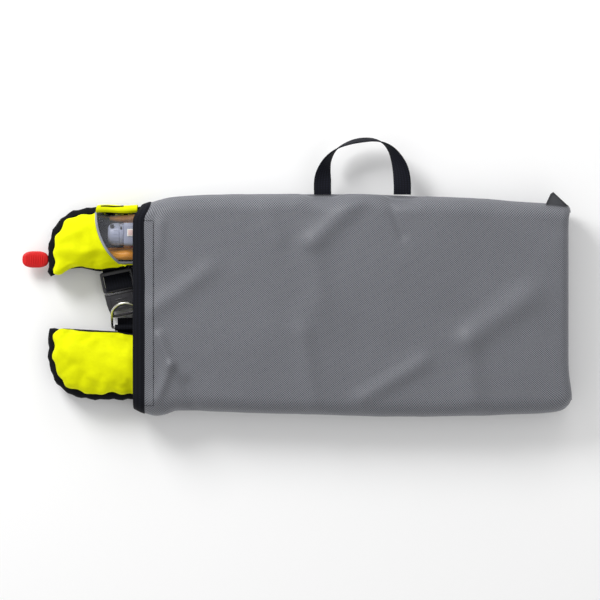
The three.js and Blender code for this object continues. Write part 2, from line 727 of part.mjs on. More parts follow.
function buildBelt() {
  const lowerX = jacketTipX + ringFromTip + 6;
  const sideWidth = beltWidth - 2;
  const upperEdge = jacketY + beltEdge - sideWidth;
  const lowerEdge = jacketY - beltEdge + sideWidth;
  const underLower = lowerEdge + gap;
  const edgeY = jacketY - neckTip;
  const buckleLength = frameLength + 2 * gap + housingLength;
  const housingLow = jacketY + buckleUp - buckleLength * Math.cos(buckleTilt)
    - (frameWidth / 2 - 8) * Math.sin(buckleTilt);

  // Webbing from the housing down and in under the lower lobe
  add('belt_lower', webbing([
    [housingLow - gap, beltLift],
    [edgeY + 11, beltLift],
    [edgeY + 1, beltLift - 0.4],
    [edgeY - 7, beltLift - 3],
    [edgeY - 15, strapMid],
    [underLower, strapMid],
  ], beltWidth, lowerX), blackWeb);

  const strapLow = strapTop - beltThickness;
  const rearX = jacketTipX + rearBeltFromTip;
  const half = beltWidth / 2;
  const flatStrap = (name, x0, y0, x1, y1) => {
    add(name, block([x0, y0, strapLow], [x1, y1, strapTop]), blackWeb);
  };
  const sideX = jacketTipX + tipRun;
  flatStrap('belt_side_upper', sideX, upperEdge, rearX + half, upperEdge + sideWidth);
  flatStrap('belt_side_lower', sideX + 20, lowerEdge - sideWidth, rearX + half, lowerEdge);
  flatStrap('rear_belt', rearX - half, lowerEdge + gap, rearX + half, upperEdge - gap);
  const strapEnd = jacketTipX + backStrapEnd;
  flatStrap('back_strap', rearX + half + gap, jacketY - half, strapEnd, jacketY + half);

  // Patch over the crossing of the rear belt and the back strap
  const patch = new THREE.Shape();
  patch.moveTo(rearX - half, jacketY - patchSize / 2);
  patch.lineTo(rearX + half, jacketY - patchSize / 2);
  patch.lineTo(rearX + half + 26, jacketY - half);
  patch.lineTo(rearX + half + 26, jacketY + half);
  patch.lineTo(rearX + half, jacketY + patchSize / 2);
  patch.lineTo(rearX - half, jacketY + patchSize / 2);
  add('back_patch', plate(patch, coverLow, coverLow + 1.5), blackCloth);

  // Slider round the back strap
  const sliderX = rearX + half + 60;
  const inside = half + gap + 0.3;
  const slider = solidOf(block(
    [sliderX, jacketY - inside - 3, strapLow - gap - sliderWall],
    [sliderX + sliderLength, jacketY + inside + 3, strapTop + gap + sliderWall + 0.6]))
    .subtract(solidOf(block(
      [sliderX - 1, jacketY - inside, strapLow - gap],
      [sliderX + sliderLength + 1, jacketY + inside, strapTop + gap])));
  add('belt_slider', slider, blackPlastic);
}

// D-ring that leans from its bar in the webbing up over the buckle
function buildRing() {
  const ring = new THREE.Group();
  ring.position.set(jacketTipX + ringFromTip, jacketY - ringBarDown, ringBarZ);
  ring.rotation.x = ringTilt;
  model.add(ring);
  const inner = ringHalfWidth - ringWire;
  const outline = new THREE.Shape();
  outline.moveTo(-ringHalfWidth, -ringWire / 2);
  outline.lineTo(ringHalfWidth, -ringWire / 2);
  outline.lineTo(ringHalfWidth, ringStraight);
  outline.absarc(0, ringStraight, ringHalfWidth, 0, Math.PI, false);
  const hole = new THREE.Path();
  hole.moveTo(-inner, ringWire / 2);
  hole.lineTo(inner, ringWire / 2);
  hole.lineTo(inner, ringStraight);
  hole.absarc(0, ringStraight, inner, 0, Math.PI, false);
  outline.holes.push(hole);
  add('d_ring', plate(outline, -ringWire / 2, ringWire / 2, 14), steel, ring);

  // Keeper of webbing over the ring's bar, sewn to the belt on both sides of it
  const keeper = new THREE.Shape();
  const r = ringWire / 2 + runningGap + 0.4;
  const wall = beltThickness;
  keeper.absarc(0, 0, r + wall, -0.35, Math.PI + 0.35, false);
  keeper.absarc(0, 0, r, Math.PI + 0.35, -0.35, true);
  const keeperWidth = 2 * inner - 4;
  const band = shapeAlongX(keeper, -keeperWidth / 2, keeperWidth / 2);
  band.translate(jacketTipX + ringFromTip, jacketY - ringBarDown, ringBarZ);
  add('d_ring_keeper', band, blackWeb);
}

buildBag();
buildHandle();
buildCover();
buildBladder();
buildInflator();
buildPull();
buildOralTube();
buildBuckle();
buildBelt();
buildRing();

export default model;
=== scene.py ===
# Inflatable life jacket sliding out of its stowage bag. Sizes are in millimetres until they reach a mesh.
import math

import bmesh
import bpy
from mathutils import Matrix, Vector, noise
from mathutils.bvhtree import BVHTree


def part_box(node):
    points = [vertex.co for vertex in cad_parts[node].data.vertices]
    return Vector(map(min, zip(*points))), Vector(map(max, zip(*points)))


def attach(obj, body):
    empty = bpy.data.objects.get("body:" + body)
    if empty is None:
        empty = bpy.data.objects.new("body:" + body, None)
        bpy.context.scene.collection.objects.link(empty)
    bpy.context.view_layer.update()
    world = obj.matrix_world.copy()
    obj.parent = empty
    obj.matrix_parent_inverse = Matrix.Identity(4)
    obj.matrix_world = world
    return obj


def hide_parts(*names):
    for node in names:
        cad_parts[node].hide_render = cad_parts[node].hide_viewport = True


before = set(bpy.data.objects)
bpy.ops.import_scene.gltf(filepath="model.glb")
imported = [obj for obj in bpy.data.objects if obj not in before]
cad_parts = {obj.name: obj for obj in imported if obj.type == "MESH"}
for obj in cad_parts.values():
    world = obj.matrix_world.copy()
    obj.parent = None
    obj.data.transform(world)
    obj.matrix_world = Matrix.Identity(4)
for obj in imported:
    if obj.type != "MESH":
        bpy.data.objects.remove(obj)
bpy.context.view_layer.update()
mm = 0.001
scene = bpy.context.scene


def corners(node):  # a CAD node's box in millimetres
    low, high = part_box(node)
    return Vector(low) / mm, Vector(high) / mm


# ---- camera, lights and floor
stageSettings = {
    "lens": 200, "sensor": 36, "distance": 5.0, "height": 0.05, "middle": (-0.0795, 0.009),
    "floorSize": 60, "key": 51, "fill": 5.5, "rim": 9, "world": 0.6,
}


def buildStage():
    s = stageSettings
    lens = bpy.data.cameras.new("camera")
    lens.lens, lens.sensor_width = s["lens"], s["sensor"]
    lens.clip_start, lens.clip_end = 0.1, 100
    camera = bpy.data.objects.new("camera", lens)
    camera.location = (*s["middle"], s["height"] + s["distance"])
    scene.collection.objects.link(camera)
    scene.camera = camera

    lights = [("key", (-1.5, 1.7, 1.5), 1.1), ("fill", (1.6, -1.2, 2.2), 2.0),
              ("rim", (0.6, 2.2, 1.2), 1.4)]
    for name, place, size in lights:
        lamp = bpy.data.lights.new(name, "AREA")
        lamp.energy, lamp.size = s[name], size
        lampObject = bpy.data.objects.new(name, lamp)
        lampObject.location = place
        lampObject.rotation_euler = (-Vector(place)).to_track_quat("-Z", "Y").to_euler()
        scene.collection.objects.link(lampObject)

    world = bpy.data.worlds.new("studio")
    world.use_nodes = True
    world.node_tree.nodes["Background"].inputs["Color"].default_value = (1, 1, 1, 1)
    world.node_tree.nodes["Background"].inputs["Strength"].default_value = s["world"]
    scene.world = world
    scene.view_settings.view_transform = "Standard"

    bm = bmesh.new()
    bmesh.ops.create_grid(bm, x_segments=1, y_segments=1, size=s["floorSize"] / 2)
    bmesh.ops.translate(bm, verts=bm.verts, vec=(0, 0, -0.0004))
    mesh = bpy.data.meshes.new("floor")
    bm.to_mesh(mesh)
    bm.free()
    floor = bpy.data.objects.new("floor", mesh)
    scene.collection.objects.link(floor)
    paper = bpy.data.materials.new("mattWhitePaper")
    paper.use_nodes = True
    shader = paper.node_tree.nodes["Principled BSDF"]
    shader.inputs["Base Color"].default_value = (0.97, 0.97, 0.97, 1)
    shader.inputs["Roughness"].default_value = 0.9
    mesh.materials.append(paper)


buildStage()
print("stage ready")


# ---- materials
def linearColour(hexText):
    channels = [int(hexText[i:i + 2], 16) / 255 for i in (0, 2, 4)]
    return [c / 12.92 if c <= 0.04045 else ((c + 0.055) / 1.055) ** 2.4 for c in channels] + [1]


def addNode(material, kind, settings=(), links=()):
    node = material.node_tree.nodes.new("ShaderNode" + kind)
    for name, value in dict(settings).items():
        if isinstance(name, int) or name in node.inputs:
            node.inputs[name].default_value = value
        else:
            setattr(node, name, value)
    for name, source in dict(links).items():
        material.node_tree.links.new(source, node.inputs[name])
    return node


def startMaterial(name, colour, roughness, settings=()):
    material = bpy.data.materials.new(name)
    material.use_nodes = True
    shader = material.node_tree.nodes["Principled BSDF"]
    shader.inputs["Base Color"].default_value = linearColour(colour)
    shader.inputs["Roughness"].default_value = roughness
    for socket, value in dict(settings).items():
        shader.inputs[socket].default_value = value
    return material, shader


def connect(material, output, socket):
    material.node_tree.links.new(output, socket)


# PVC-coated polyester mesh: a fine check of light threads and dark gaps with a dull plastic gleam
def coatedMesh():
    m, shader = startMaterial("pvcCoatedPolyesterMesh", "74767C", 0.5,
                              {"Specular IOR Level": 0.4, "Sheen Weight": 0.15})
    cell = 0.0017  # 1.2 mm threads, drawn wider so that the check shows
    coords = addNode(m, "TexCoord")
    turned = addNode(m, "Mapping", {"Rotation": (0, 0, math.radians(2))}, {"Vector": coords.outputs["UV"]})
    check = addNode(m, "TexChecker", {"Scale": 1 / cell, "Color1": linearColour("82848B"),
                                      "Color2": linearColour("45464B")}, {"Vector": turned.outputs[0]})
    cloud = addNode(m, "TexNoise", {"Scale": 9, "Detail": 3}, {"Vector": coords.outputs["Object"]})
    level = addNode(m, "MapRange", {"To Min": 0.9, "To Max": 1.08},
                    {"Value": cloud.outputs["Fac"]})
    shade = addNode(m, "MixRGB", {"blend_type": "MULTIPLY", "Fac": 1},
                    {"Color1": check.outputs["Color"], "Color2": level.outputs[0]})
    connect(m, shade.outputs[0], shader.inputs["Base Color"])
    gleam = addNode(m, "MapRange", {"To Min": 0.42, "To Max": 0.6}, {"Value": check.outputs["Fac"]})
    connect(m, gleam.outputs[0], shader.inputs["Roughness"])
    bump = addNode(m, "Bump", {"Strength": 0.35, "Distance": 0.0004}, {"Height": check.outputs["Fac"]})
    connect(m, bump.outputs[0], shader.inputs["Normal"])
    return m


# Woven polyester webbing: cross ribs over lengthwise cords, nearly black with a blue cast
def wovenWebbing(name, colour, light):
    m, shader = startMaterial(name, colour, 0.78, {"Specular IOR Level": 0.14})
    rib = 0.0026  # 1.3 mm ribs, drawn twice as coarse
    coords = addNode(m, "TexCoord")
    ribs = addNode(m, "TexWave", {"Scale": 0.314 / rib, "bands_direction": "X", "Distortion": 0.4,
                                  "Detail": 1}, {"Vector": coords.outputs["UV"]})
    cords = addNode(m, "TexWave", {"Scale": 0.314 / (1.6 * rib), "bands_direction": "Y"},
                    {"Vector": coords.outputs["UV"]})
    both = addNode(m, "Math", {"operation": "MULTIPLY"}, {0: ribs.outputs["Fac"], 1: cords.outputs["Fac"]})
    shade = addNode(m, "MixRGB", {"Color1": linearColour(colour), "Color2": linearColour(light)},
                    {"Fac": both.outputs[0]})
    connect(m, shade.outputs[0], shader.inputs["Base Color"])
    bump = addNode(m, "Bump", {"Strength": 0.5, "Distance": 0.0005}, {"Height": both.outputs[0]})
    connect(m, bump.outputs[0], shader.inputs["Normal"])
    return m


# Tightly woven polyester cloth: a faint thread grain under soft creases, dull unless it is coated; its colour
# is mixed with a second tone as painted shading over the creases
def wovenCloth(name, colour, shade, roughness, paintedGlow=0.0, gloss=0.12):
    # paintedGlow is painted light: a faint emission in the cloth's own colour makes it glow without a lamp
    m, shader = startMaterial(name, colour, roughness, {
        "Specular IOR Level": gloss, "Emission Color": linearColour(colour),
        "Emission Strength": paintedGlow})
    thread = 0.0016  # 0.5 mm threads, drawn three times as coarse
    coords = addNode(m, "TexCoord")
    warp = addNode(m, "TexWave", {"Scale": 0.314 / thread, "bands_direction": "X", "Distortion": 0.6},
                   {"Vector": coords.outputs["Object"]})
    weft = addNode(m, "TexWave", {"Scale": 0.314 / thread, "bands_direction": "Y", "Distortion": 0.6},
                   {"Vector": coords.outputs["Object"]})
    grain = addNode(m, "Math", {"operation": "MULTIPLY"}, {0: warp.outputs["Fac"], 1: weft.outputs["Fac"]})
    cloud = addNode(m, "TexNoise", {"Scale": 26, "Detail": 4, "Roughness": 0.6},
                    {"Vector": coords.outputs["Object"]})
    # painted shading: the noise that raises the creases mixes in the second tone, a shaded copy of the colour
    # for the yellow and orange cloth and a lighter, lit copy for the black cloth and the piping
    level = addNode(m, "MapRange", {"From Min": 0.35, "From Max": 0.75}, {"Value": cloud.outputs["Fac"]})
    mixed = addNode(m, "MixRGB", {"Color1": linearColour(colour), "Color2": linearColour(shade)},
                    {"Fac": level.outputs[0]})
    connect(m, mixed.outputs[0], shader.inputs["Base Color"])
    creases = addNode(m, "Bump", {"Strength": 0.25, "Distance": 0.004}, {"Height": cloud.outputs["Fac"]})
    bump = addNode(m, "Bump", {"Strength": 0.25, "Distance": 0.0003},
                   {"Height": grain.outputs[0], "Normal": creases.outputs[0]})
    connect(m, bump.outputs[0], shader.inputs["Normal"])
    return m


# Injection-moulded plastic: spark-eroded grain, worn a little smoother on its high spots
def mouldedPlastic(name, colour, roughness, settings=()):
    m, shader = startMaterial(name, colour, roughness, settings)
    coords = addNode(m, "TexCoord")
    grain = addNode(m, "TexNoise", {"Scale": 900, "Detail": 2}, {"Vector": coords.outputs["Object"]})
    wear = addNode(m, "TexNoise", {"Scale": 60, "Detail": 5}, {"Vector": coords.outputs["Object"]})
    level = addNode(m, "MapRange", {"To Min": roughness - 0.1, "To Max": roughness + 0.14},
                    {"Value": wear.outputs["Fac"]})
    connect(m, level.outputs[0], shader.inputs["Roughness"])
    tint = addNode(m, "MapRange", {"To Min": 0.88, "To Max": 1.1}, {"Value": wear.outputs["Fac"]})
    mixed = addNode(m, "MixRGB", {"blend_type": "MULTIPLY", "Fac": 1, "Color1": linearColour(colour)},
                    {"Color2": tint.outputs[0]})
    connect(m, mixed.outputs[0], shader.inputs["Base Color"])
    bump = addNode(m, "Bump", {"Strength": 0.15, "Distance": 0.0002}, {"Height": grain.outputs["Fac"]})
    connect(m, bump.outputs[0], shader.inputs["Normal"])
    return m


# Drawn or turned metal: bright, with fine scratches along the work
def drawnMetal(name, colour, roughness):
    m, shader = startMaterial(name, colour, roughness, {"Metallic": 1.0})
    coords = addNode(m, "TexCoord")
    stretched = addNode(m, "Mapping", {"Scale": (60, 900, 900)}, {"Vector": coords.outputs["Object"]})
    lines = addNode(m, "TexNoise", {"Scale": 1, "Detail": 4}, {"Vector": stretched.outputs[0]})
    level = addNode(m, "MapRange", {"To Min": roughness - 0.08, "To Max": roughness + 0.15},
                    {"Value": lines.outputs["Fac"]})
    connect(m, level.outputs[0], shader.inputs["Roughness"])
    bump = addNode(m, "Bump", {"Strength": 0.08, "Distance": 0.0002}, {"Height": lines.outputs["Fac"]})
    connect(m, bump.outputs[0], shader.inputs["Normal"])
    return m


# Clear vinyl window: soft reflections over what lies behind, slightly milky
def clearVinyl():
    m, shader = startMaterial("clearVinyl", "C9CCD6", 0.12, {"Specular IOR Level": 0.9})
    coords = addNode(m, "TexCoord")
    cloud = addNode(m, "TexNoise", {"Scale": 30, "Detail": 3}, {"Vector": coords.outputs["Object"]})
    level = addNode(m, "MapRange", {"To Min": 0.02, "To Max": 0.07}, {"Value": cloud.outputs["Fac"]})
    connect(m, level.outputs[0], shader.inputs["Alpha"])
    bump = addNode(m, "Bump", {"Strength": 0.4, "Distance": 0.003}, {"Height": cloud.outputs["Fac"]})
    connect(m, bump.outputs[0], shader.inputs["Normal"])
    return m


# Hook-and-loop tape: a dull black pile with no highlight
def hookTape():
    m, shader = startMaterial("nylonHookTape", "17181C", 0.95, {"Sheen Weight": 0.4})
    coords = addNode(m, "TexCoord")
    pile = addNode(m, "TexVoronoi", {"Scale": 700}, {"Vector": coords.outputs["Object"]})
    mixed = addNode(m, "MixRGB", {"Color1": linearColour("0D0E11"), "Color2": linearColour("2A2C33")},
                    {"Fac": pile.outputs["Distance"]})
    connect(m, mixed.outputs[0], shader.inputs["Base Color"])
    bump = addNode(m, "Bump", {"Strength": 0.8, "Distance": 0.0006}, {"Height": pile.outputs["Distance"]})
    connect(m, bump.outputs[0], shader.inputs["Normal"])
    return m


look = {
    "bag": coatedMesh(),
    "webbing": wovenWebbing("wovenPolyesterWebbing", "0B0C12", "181A24"),
    "handle": wovenWebbing("wovenHandleWebbing", "0E0F16", "1E202C"),
    "tape": hookTape(),
    # the yellow cover cloth and the orange bladder cloth get a painted glow, a small emission that brightens
    # them without a lamp
    "yellow": wovenCloth("fluorescentPolyesterCloth", "E4E900", "CDD100", 0.8, 0.06),
    "black": wovenCloth("blackPolyesterCloth", "08090C", "101218", 0.8),
    "piping": wovenCloth("reflectivePipingTape", "868A94", "9CA0AA", 0.35, gloss=0.3),
    "vinyl": clearVinyl(),
    "orange": wovenCloth("urethaneCoatedNylon", "EDA003", "BC7203", 0.3, 0.05, 0.3),
    "greyPlastic": mouldedPlastic("mouldedGreyNylon", "9297AC", 0.4),
    "blackPlastic": mouldedPlastic("mouldedBlackAcetal", "242329", 0.28, {"Specular IOR Level": 0.6}),
    "orangePlastic": mouldedPlastic("mouldedOrangeAbs", "E8842A", 0.35),
    "redPlastic": mouldedPlastic("mouldedRedPolypropylene", "D01A1C", 0.42,
                                 {"Specular IOR Level": 0.3}),
    "rosePlastic": mouldedPlastic("mouldedPaleRosePlastic", "E3C3BE", 0.45),
    "paper": mouldedPlastic("pressedPaperBobbin", "F2F0E6", 0.8),
    "cord": wovenWebbing("braidedRedCord", "A81E1E", "D23A33"),
    "steel": drawnMetal("drawnStainlessSteel", "D9D8D2", 0.24),
    "zinc": drawnMetal("zincPlatedSteel", "B9BCC0", 0.34),
}
print("materials ready")


# ---- helpers for shapes
def addPiece(name, bm, material, body, nodes=(), thickness=0.0, levels=0, bevel=0.0, sharp=None):
    mesh = bpy.data.meshes.new(name)
    bm.to_mesh(mesh)
    bm.free()
    for polygon in mesh.polygons:
        polygon.use_smooth = True
    if sharp:
        mesh.set_sharp_from_angle(angle=math.radians(sharp))
    for one in material if isinstance(material, list) else [material]:
        mesh.materials.append(one)
    piece = bpy.data.objects.new(name, mesh)
    scene.collection.objects.link(piece)
    if thickness:
        wall = piece.modifiers.new("wall", "SOLIDIFY")
        wall.thickness, wall.offset = thickness * mm, -1
        wall.use_even_offset = False
    if bevel:
        edge = piece.modifiers.new("edge", "BEVEL")
        edge.width, edge.segments, edge.limit_method = bevel * mm, 2, "ANGLE"
        edge.angle_limit = math.radians(35)
    if levels:
        finer = piece.modifiers.new("finer", "SUBSURF")
        finer.levels = finer.render_levels = levels
    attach(piece, body)
    if nodes:
        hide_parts(*nodes)
    return piece


def gridMesh(columns, rows, place, uvSize):  # place(u, v) gives a point for u along and v across, 0 to 1
    bm = bmesh.new()
    bmesh.ops.create_grid(bm, x_segments=columns, y_segments=rows, size=1)
    uvLayer = bm.loops.layers.uv.new("UVMap")
    spots = {v: ((v.co.x + 1) / 2, (v.co.y + 1) / 2) for v in bm.verts}
    for face in bm.faces:
        for loop in face.loops:
            u, v = spots[loop.vert]
            loop[uvLayer].uv = (u * uvSize[0] * mm, v * uvSize[1] * mm)
    for vert, (u, v) in spots.items():
        vert.co = Vector(place(u, v)) * mm
    return bm


def through(points, x):  # smooth value at x through (x, value) points
    i = 0
    while i < len(points) - 2 and points[i + 1][0] <= x:
        i += 1
    (x0, y0), (x1, y1) = points[i], points[i + 1]
    before, after = points[max(i - 1, 0)], points[min(i + 2, len(points) - 1)]
    run = x1 - x0
    t = min(max((x - x0) / run, 0), 1)
    slope0 = (y1 - before[1]) / (x1 - before[0]) * run
    slope1 = (after[1] - y0) / (after[0] - x0) * run
    return ((2 * t ** 3 - 3 * t * t + 1) * y0 + (t ** 3 - 2 * t * t + t) * slope0
            + (3 * t * t - 2 * t ** 3) * y1 + (t ** 3 - t * t) * slope1)


def along(points, t):  # point at t, 0 to 1, on a smooth curve through evenly taken points
    count = len(points) - 1
    keyed = [[(k / count, p[axis]) for k, p in enumerate(points)] for axis in range(len(points[0]))]
    return Vector([through(line, t) for line in keyed])


def tubeMesh(points, radius, closed=False):  # round cord or wire through points
    curve = bpy.data.curves.new("path", "CURVE")
    curve.dimensions, curve.bevel_depth, curve.bevel_resolution = "3D", radius * mm, 3
    curve.use_fill_caps = True
    spline = curve.splines.new("POLY")
    spline.points.add(len(points) - 1)
    for point, place in zip(spline.points, points):
        point.co = (*(Vector(place) * mm), 1)
    spline.use_cyclic_u = closed
    holder = bpy.data.objects.new("path", curve)
    scene.collection.objects.link(holder)
    bpy.context.view_layer.update()
    made = bpy.data.meshes.new_from_object(holder.evaluated_get(bpy.context.evaluated_depsgraph_get()))
    bm = bmesh.new()
    bm.from_mesh(made)
    bmesh.ops.remove_doubles(bm, verts=bm.verts, dist=0.00001)
    bmesh.ops.recalc_face_normals(bm, faces=bm.faces)
    bpy.data.objects.remove(holder)
    bpy.data.curves.remove(curve)
    bpy.data.meshes.remove(made)
    return bm


def ribbon(name, points, across, settings, material, body, nodes=()):
    # webbing through points; across gives the width's direction at each of them
    length = sum((Vector(b) - Vector(a)).length for a, b in zip(points, points[1:]))
    width = settings["width"]
    steps = max(8, int(length / settings.get("step", 4)))

    def place(u, v):
        side = along(across, u).normalized()
        return along(points, u) + side * (v - 0.5) * width

    bm = gridMesh(steps, 6, place, (length, width))
    piece = addPiece(name, bm, material, body, nodes)
    wall = piece.modifiers.new("wall", "SOLIDIFY")
    wall.thickness, wall.offset = settings["thickness"] * mm, 0
    edge = piece.modifiers.new("edge", "BEVEL")
    edge.width, edge.segments, edge.limit_method = 0.3 * settings["thickness"] * mm, 2, "ANGLE"
    edge.angle_limit = math.radians(50)
    return piece


def stitches(name, runs, settings, material, body):
    # thread lying along lines of points, one small pip for each stitch
    bm = bmesh.new()
    for points in runs:
        length = sum((Vector(b) - Vector(a)).length for a, b in zip(points, points[1:]))
        count = max(2, int(length / settings["pitch"]))
        for k in range(count):
            here, there = along(points, k / count), along(points, min((k + 0.6) / count, 1))
            turn = (there - here).to_track_quat("X", "Z").to_matrix().to_4x4()
            size = Matrix.Diagonal((0.32 * settings["pitch"], settings["radius"], settings["radius"], 1))
            spot = Matrix.Translation((here + there) / 2)
            bmesh.ops.create_uvsphere(bm, u_segments=6, v_segments=4, radius=1, matrix=spot @ turn @ size)
    bmesh.ops.scale(bm, vec=(mm, mm, mm), verts=bm.verts)
    return addPiece(name, bm, material, body)


def copyNode(node):  # merged copy of a CAD node's mesh, flat faces joined
    bm = bmesh.new()
    bm.from_mesh(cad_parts[node].data)
    bmesh.ops.remove_doubles(bm, verts=bm.verts, dist=0.00001)
    bmesh.ops.dissolve_limit(bm, angle_limit=math.radians(1), verts=bm.verts, edges=bm.edges)
    return bm


# ---- bag
bag = {
    "mouth": -328, "cornerStart": 309, "corner": 14, "middleHeight": 35, "halfThickness": 33.2, "round": 25,
    "upper": [(-328, 151), (-304, 158), (-275, 163.5), (-215, 167), (-125, 168), (10, 168), (100, 165),
              (190, 161.5), (258, 156), (310, 152.5), (323, 151.5)],
    "lower": [(-328, -153), (-314, -160), (-298, -164.5), (-282, -163), (-264, -157), (-192, -159),
              (-57, -163), (55, -166), (168, -165), (258, -162), (300, -159.5), (314, -156), (323, -150)],
    "mouthLean": 12,
    "feet": (-45.5, 74.4), "footReach": 26, "footDent": 6,
    "planInset": 0.35,  # share of the end's inset that is taken in plan, so its corners stay square
    "foldDepth": 1.36,
    # creases in the front cloth: start, end, width, height above the cloth round it
    "folds": [
        ((14, 166), (-60, 96), 15, 4.6), ((-60, 96), (-52, 4), 22, 3.4), ((52, 160), (74, 104), 7, -3),
        ((-290, -44), (-273, -88), 7, 5), ((-273, -88), (-294, -142), 7.5, 5.2),
        ((-250, -116), (-236, -162), 9, -4), ((104, -84), (12, -140), 13, 4.2),
        ((262, 14), (172, -50), 20, 5.4), ((172, -50), (178, -146), 18, 4),
        ((-218, 52), (-302, -8), 15, 3.4), ((-287, 126), (-291, 74), 8, 2.2),
        ((-76, -38), (-58, -150), 14, 3.4), ((-84, 157), (-66, 160), 6, 1.8),
        ((-130, 150), (-112, 100), 14, 2), ((210, 150), (300, 120), 16, -1.6),
        ((-160, -60), (-40, -20), 40, 1.6),
    ],
}


def creaseHeight(folds, x, y, pastEnd=1.0):  # pastEnd is the share left beyond a crease's ends
    height = 0
    for start, end, width, lift in folds:
        a, b = Vector(start), Vector(end)
        run = b - a
        t = (Vector((x, y)) - a).dot(run) / run.length_squared
        away = (Vector((x, y)) - a - run * min(max(t, 0), 1)).length / width
        if away < 3:
            height += lift * math.exp(-away * away) * (1 if 0 <= t <= 1 else pastEnd)
    return height


def foldHeight(x, y):
    slow = 1.5 * noise.noise(Vector((x / 70, y / 70, 3.1)))
    quick = 0.6 * noise.noise(Vector((x / 22, y / 22, 8)))
    return bag["foldDepth"] * creaseHeight(bag["folds"], x, y, 0.85) + slow + quick


def bagSection(x, v, inset=0.0, grow=0.0):
    # point at v, 0 to 1, round the bag's section at x, from the middle of its back
    upper, lower = through(bag["upper"], x), through(bag["lower"], x)
    middle, half = (upper + lower) / 2, (upper - lower) / 2 - bag["planInset"] * inset + grow
    tall = max(bag["halfThickness"] - inset, 0) + grow
    r = max(min(bag["round"] - inset + grow, tall), 0)
    flat, side = half - r, 2 * (tall - r)
    shares = [(0.19, "back"), (0.04, "turn"), (0.04, "side"), (0.04, "turn"), (0.38, "front"),
              (0.04, "turn"), (0.04, "side"), (0.04, "turn"), (0.19, "back")]
    k = 0
    while k < 8 and v > shares[k][0]:
        v -= shares[k][0]
        k += 1
    t = v / shares[k][0]
    quarter = t * math.pi / 2
    y, z = [
        (-flat * t, -tall), (-flat - r * math.sin(quarter), -tall + r * (1 - math.cos(quarter))),
        (-half, -side / 2 + side * t), (-flat - r * math.cos(quarter), side / 2 + r * math.sin(quarter)),
        (-flat + 2 * flat * t, tall), (flat + r * math.sin(quarter), tall - r * (1 - math.cos(quarter))),
        (half, side / 2 - side * t), (flat + r * math.cos(quarter), -side / 2 - r * math.sin(quarter)),
        (flat - flat * t, -tall)][k]
    height = bag["middleHeight"] + z
    # above the handle's feet the side stands back a little, so that the handle can fold up past it
    feet = max(math.exp(-((x - foot) / bag["footReach"]) ** 4) for foot in bag["feet"])
    outer = min(max((y / max(half, 1) - 0.7) / 0.25, 0), 1)
    y -= bag["footDent"] * feet * outer * min(max((height - 32) / 5, 0), 1)
    share = min(max((height - 34) / 30, 0), 1)
    share = share * share * (3 - 2 * share)
    crown = 2.6 * (1 - (y / max(half, 1)) ** 2) * share
    mouthEase = min(max((x - bag["mouth"]) / 30, 0), 1)
    lift = (foldHeight(x, y + middle) * (0.35 + 0.65 * mouthEase) + crown) * share * min(tall / 30, 1)
    puff = 1.2 * noise.noise(Vector((x / 45, y / 60, 20 + z / 30))) * (1 - share) * (1 - feet)
    puff *= height > 6
    lip = 0.5 * share if -311.5 < x < -299 else 0  # the strip behind makes the cloth stand a little higher
    # the mouth's edge runs back where it turns over the upper side
    over = min(max((y + middle - 128) / 26, 0), 1)
    lean = bag["mouthLean"] * over * over * (3 - 2 * over) * max(0, 1 - (x - bag["mouth"]) / 80)
    return Vector((x + lean, y + middle + math.copysign(puff, y) * mouthEase,
                   max(height + lift + lip, 0.4 - grow)))


def bagRows():
    # places along the bag with how far the section is drawn in at the closed end
    rows = [(bag["mouth"] + 1 + k * (bag["cornerStart"] - bag["mouth"] - 1) / 158, 0) for k in range(159)]
    for k in range(1, 7):
        a = k / 6 * math.pi / 2
        rows.append((bag["cornerStart"] + bag["corner"] * math.sin(a), bag["corner"] * (1 - math.cos(a))))
    end, inset = rows[-1]
    rows += [(end + 1.5 * k / 5, inset + (bag["halfThickness"] - inset) * k / 5) for k in range(1, 6)]
    return rows


def bagCloth(name, nodes, keep):
    rows = bagRows()
    count = len(rows) - 1
    around = 192

    def place(u, v):
        x, inset = rows[round(u * count)]
        y = bagSection(min(x, 320), v)[1]
        # both corners of the closed end stand out a little
        flare = 5 * math.exp(-((y + 130) / 26) ** 2) + 3 * math.exp(-((y - 150) / 22) ** 2)
        flare *= max(0, (x - 290) / 33)
        spot = bagSection(min(x, 323), v, inset)
        return spot.x + (x - min(x, 323)) + flare, spot.y, spot.z

    bm = gridMesh(count, around, place, (656, 770))
    bmesh.ops.remove_doubles(bm, verts=bm.verts, dist=0.00003)
    gone = [f for f in bm.faces if not keep(f.calc_center_median() / mm)]
    bmesh.ops.delete(bm, geom=gone, context="FACES")
    middle = Vector((0, 0, bag["middleHeight"] * mm))
    inward = sum(1 for f in bm.faces if f.normal.dot(f.calc_center_median() - middle) < 0)
    if inward > len(bm.faces) / 2:
        bmesh.ops.reverse_faces(bm, faces=bm.faces)
    return addPiece(name, bm, look["bag"], "bag", nodes, thickness=1.0)


def isFront(c):
    return c.z > bag["middleHeight"] or c.x > 300


frontCloth = bagCloth("bag_front_cloth", ["bag_front_panel", "bag_end_gusset"], isFront)
backCloth = bagCloth("bag_back_cloth", ["bag_back_panel"], lambda c: not isFront(c))


def surface(x, y):  # height of the front cloth
    low, high = 0.31, 0.69
    for _ in range(24):
        v = (low + high) / 2
        low, high = (v, high) if bagSection(x, v).y < y else (low, v)
    return bagSection(x, v).z


binding = {"width": 15, "outside": 1.5, "inside": 2.6}


